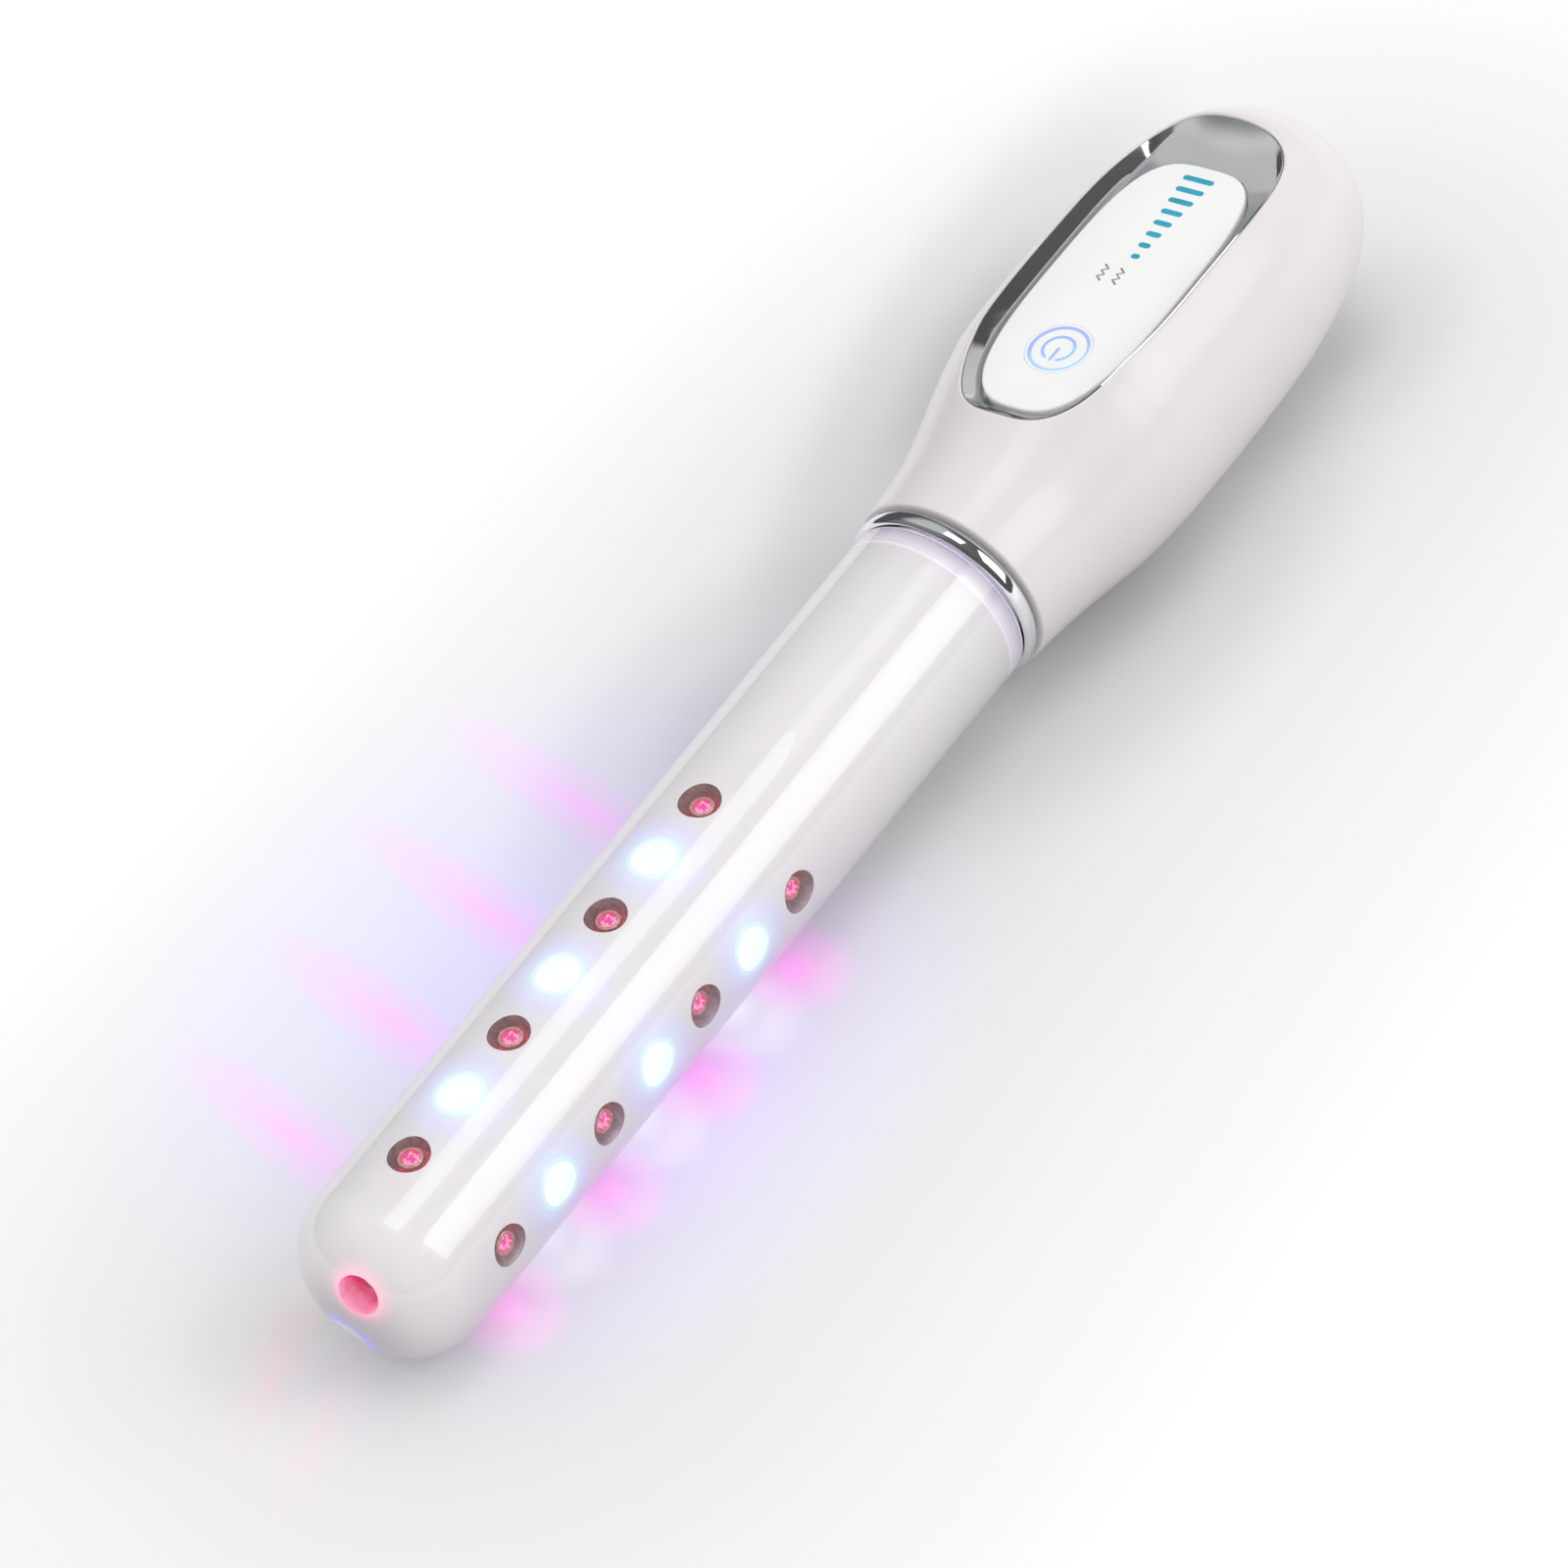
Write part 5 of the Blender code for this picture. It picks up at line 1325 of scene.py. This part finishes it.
def floor_patches():
    """Painted light of the wand's rows on the floor, and painted soft shadow near the wand.

    Each patch has its place x and y, its direction in degrees, its half length, its half width and the colour
    that it adds. Lengths are in millimetres.
    """
    patches = []
    for i in range(LASERS_PER_ROW):
        from_ring = LASERS_PER_ROW - 1 - i
        patches.append((-22.0 - 22.2 * from_ring, 38, 78, 32 + 2 * i, 6.5, (0.19, -0.14, 0.14)))
        patches.append((-34.5 - 21.5 * from_ring, -8.5, 80, 11, 8.5, (0.44, -0.02 - 0.04 * i, 0.28)))
    for i in range(LASERS_PER_ROW - 1):
        patches.append((-44.0 - 21.5 * (LASERS_PER_ROW - 2 - i), -2.5, 80, 16, 10.5, (0.46, 0.44, 0.42)))
    return patches + [
        (-52, 38, 0, 68, 48, (-0.01, -0.04, 0.23)),
        (-62, -15, 0, 60, 30, (0.09, 0.01, 0.27)),
        (-121, 14, 20, 17, 5.5, (0.10, -0.04, -0.01)),
        (-126, 2, 15, 17, 5.5, (0.09, -0.03, -0.01)),
        (0, 28, 0, 54, 30, (-0.20, -0.20, -0.16)),
        (80, 40, 12, 82, 26, (-0.29, -0.29, -0.29)),
        (42, -10, 0, 62, 32, (-0.20, -0.20, -0.20)),
        (102, -14, 0, 30, 18, (-0.12, -0.12, -0.12)),
        (-114, 17, 0, 18, 16, (-0.08, -0.10, -0.10)),
    ]


def floor_patch(tree, place, x, y, direction_deg, length, width, colour):
    """Colour of one soft painted patch, light where the colour is positive and shadow where it is negative,
    strongest at its middle.
    """
    turn = node(tree, "Mapping", {
        "Vector": place, "Location": (x * MM, y * MM, 0.0),
        "Rotation": (0.0, 0.0, math.radians(direction_deg)), "Scale": (length * MM, width * MM, 1.0),
    }, vector_type="TEXTURE").outputs[0]
    strength = ramp(tree, distance(tree, turn), [(0.0, grey(1.0)), (0.5, grey(0.42)), (1.0, grey(0.0))])
    return vector(tree, "MULTIPLY", strength, colour)


def make_floor():
    """White floor, greyer near the wand by painted shade, that keeps the wand's shadow and shows the painted
    light of its rows.
    """
    bm = bmesh.new()
    corners = [(-1, -1), (1, -1), (1, 1), (-1, 1)]
    bm.faces.new([bm.verts.new((x * FLOOR_HALF_SIZE, y * FLOOR_HALF_SIZE, -FLOOR_DROP)) for x, y in corners])
    material, tree, shader, place = new_material("studio_floor", roughness=0.6)
    shader.inputs["Specular IOR Level"].default_value = 0.1
    # Painted shadow: the floor's base colour is greyer near the wand
    beyond = maths(tree, "ABSOLUTE", maths(tree, "SUBTRACT", coordinate(tree, place), 5 * MM))
    beyond = maths(tree, "MAXIMUM", maths(tree, "SUBTRACT", beyond, 95 * MM), 0.0)
    aside = maths(tree, "ADD", coordinate(tree, place, "Y"), 8 * MM)
    away = distance(tree, node(tree, "CombineXYZ", {0: beyond, 1: aside}).outputs[0])
    shade = ramp(tree, maths(tree, "DIVIDE", away, 150 * MM), [
        (0.05, (0.64, 0.64, 0.645)), (0.5, (0.78, 0.78, 0.785)), (0.9, grey(0.95))
    ], smooth=False)
    # Painted light of the rows and painted shadow near the wand, added up from the patches
    total = grey(0.0)
    for patch in floor_patches():
        total = vector(tree, "ADD", total, floor_patch(tree, place, *patch))
    # Painted shadow: the negative part of the patches darkens the base colour, and takes green out under the
    # painted beams
    painted_darkening = vector(tree, "MAXIMUM", vector(tree, "MINIMUM", total), grey(-FLOOR_DEEPEST_SHADE))
    tree.links.new(vector(tree, "ADD", shade, painted_darkening), shader.inputs["Base Color"])
    path = node(tree, "LightPath")
    seen = maths(tree, "MAXIMUM", path.outputs["Is Camera Ray"], path.outputs["Is Glossy Ray"])
    seen = maths(tree, "MAXIMUM", seen, path.outputs["Is Transmission Ray"])
    lift = vector(tree, "MULTIPLY", seen, grey(FLOOR_LIFT))
    # The positive part of the patches glows as painted light of the rows; the lift brightens the floor evenly
    # for the camera, mirrors and clear plastic
    lit(material, vector(tree, "ADD", vector(tree, "MAXIMUM", total), lift), 1.0)
    floor = bpy.data.objects.new("floor", solid("floor", bm, material))
    bpy.context.scene.collection.objects.link(floor)


def softbox(name, direction, width, height, radiance):
    """Soft light that faces the wand from a direction."""
    lamp = bpy.data.lights.new(name, "AREA")
    lamp.shape = "RECTANGLE"
    lamp.size = width
    lamp.size_y = height
    lamp.energy = radiance * math.pi * width * height
    light = bpy.data.objects.new(name, lamp)
    bpy.context.scene.collection.objects.link(light)
    way = Vector(direction).normalized()
    level = (Vector((way.z, 0, -way.x)) if way.z > 0.7 else Vector((-way.y, way.x, 0))).normalized()
    turn = Matrix((level, way.cross(level), way)).transposed().to_4x4()
    light.matrix_world = Matrix.Translation(way * LAMP_DISTANCE) @ turn
    light.visible_camera = False


def facing_way(tree, way, direction):
    """Cosine of the angle between a way and a direction."""
    return node(tree, "VectorMath", {0: way, 1: direction}, operation="DOT_PRODUCT").outputs["Value"]


def make_world():
    """Even fill light, white for the camera and through clear plastic, and a dim room in the mirrors.

    The room has a bright end beyond the butt and two soft cards over the wand.
    """
    world = bpy.data.worlds.new("studio")
    bpy.context.scene.world = world
    world.use_nodes = True
    tree = world.node_tree
    path = node(tree, "LightPath")
    way = node(tree, "TexCoord").outputs["Generated"]
    height = coordinate(tree, way, "Z")
    fill = ramp(tree, height, [(0.0, (0.39, 0.39, 0.395)), (1.0, grey(0.79))], smooth=False)
    lean = facing_way(tree, way, (0.0, -0.6, 0.8))
    white = ramp(tree, lean, [(0.0, (0.82, 0.82, 0.825)), (1.0, grey(1.0))], smooth=False)
    fill = blended(tree, path.outputs["Is Transmission Ray"], fill, white)
    fill = blended(tree, path.outputs["Is Camera Ray"], fill, grey(1 / WORLD_STRENGTH))
    room = ramp(tree, height, [(0.0, (0.075, 0.072, 0.07)), (0.45, grey(0.08)), (1.0, grey(0.12))])
    end = ramp(tree, coordinate(tree, way), [(0.75, grey(0.0)), (0.81, grey(0.40)), (1.0, grey(0.45))])
    card = ramp(tree, facing_way(tree, way, (0.15, 0.35, 0.92)), [(0.80, grey(0.0)), (0.94, grey(0.35))])
    low_card = ramp(tree, facing_way(tree, way, (-0.60, 0.52, 0.61)), [(0.78, grey(0.0)), (0.95, grey(0.10))])
    for more in (end, card, low_card):
        room = vector(tree, "ADD", room, more)
    mirrored = maths(tree, "SUBTRACT", path.outputs["Is Glossy Ray"], path.outputs["Is Transmission Ray"])
    mirrored = maths(tree, "MAXIMUM", mirrored, 0.0)
    background = tree.nodes["Background"]
    tree.links.new(blended(tree, mirrored, fill, room), background.inputs["Color"])
    background.inputs["Strength"].default_value = WORLD_STRENGTH


def make_camera():
    data = bpy.data.cameras.new("camera")
    data.sensor_width = CAMERA_SENSOR_MM
    data.lens = CAMERA_LENS_MM
    data.clip_start = 0.01
    camera = bpy.data.objects.new("camera", data)
    bpy.context.scene.collection.objects.link(camera)
    turn = Matrix((CAMERA_RIGHT, CAMERA_UP, CAMERA_BACK)).transposed().to_4x4()
    camera.matrix_world = WAND @ Matrix.Translation(CAMERA_PLACE) @ turn
    bpy.context.scene.camera = camera


def make_studio():
    make_floor()
    softbox("top_softbox", (0.20, -0.14, 0.96), 0.70, 0.44, 1.65)
    softbox("side_softbox", (0.40, -0.77, 0.49), 0.72, 0.72, 2.2)
    make_world()
    make_camera()
    bpy.context.scene.view_settings.view_transform = "Standard"


def main():
    make_sleeve()
    make_core()
    make_diodes()
    make_ring()
    make_handle()
    make_lip()
    make_bezel()
    make_panel()
    make_button()
    make_marks()
    make_inlet()
    finish_carried()
    make_studio()


main()
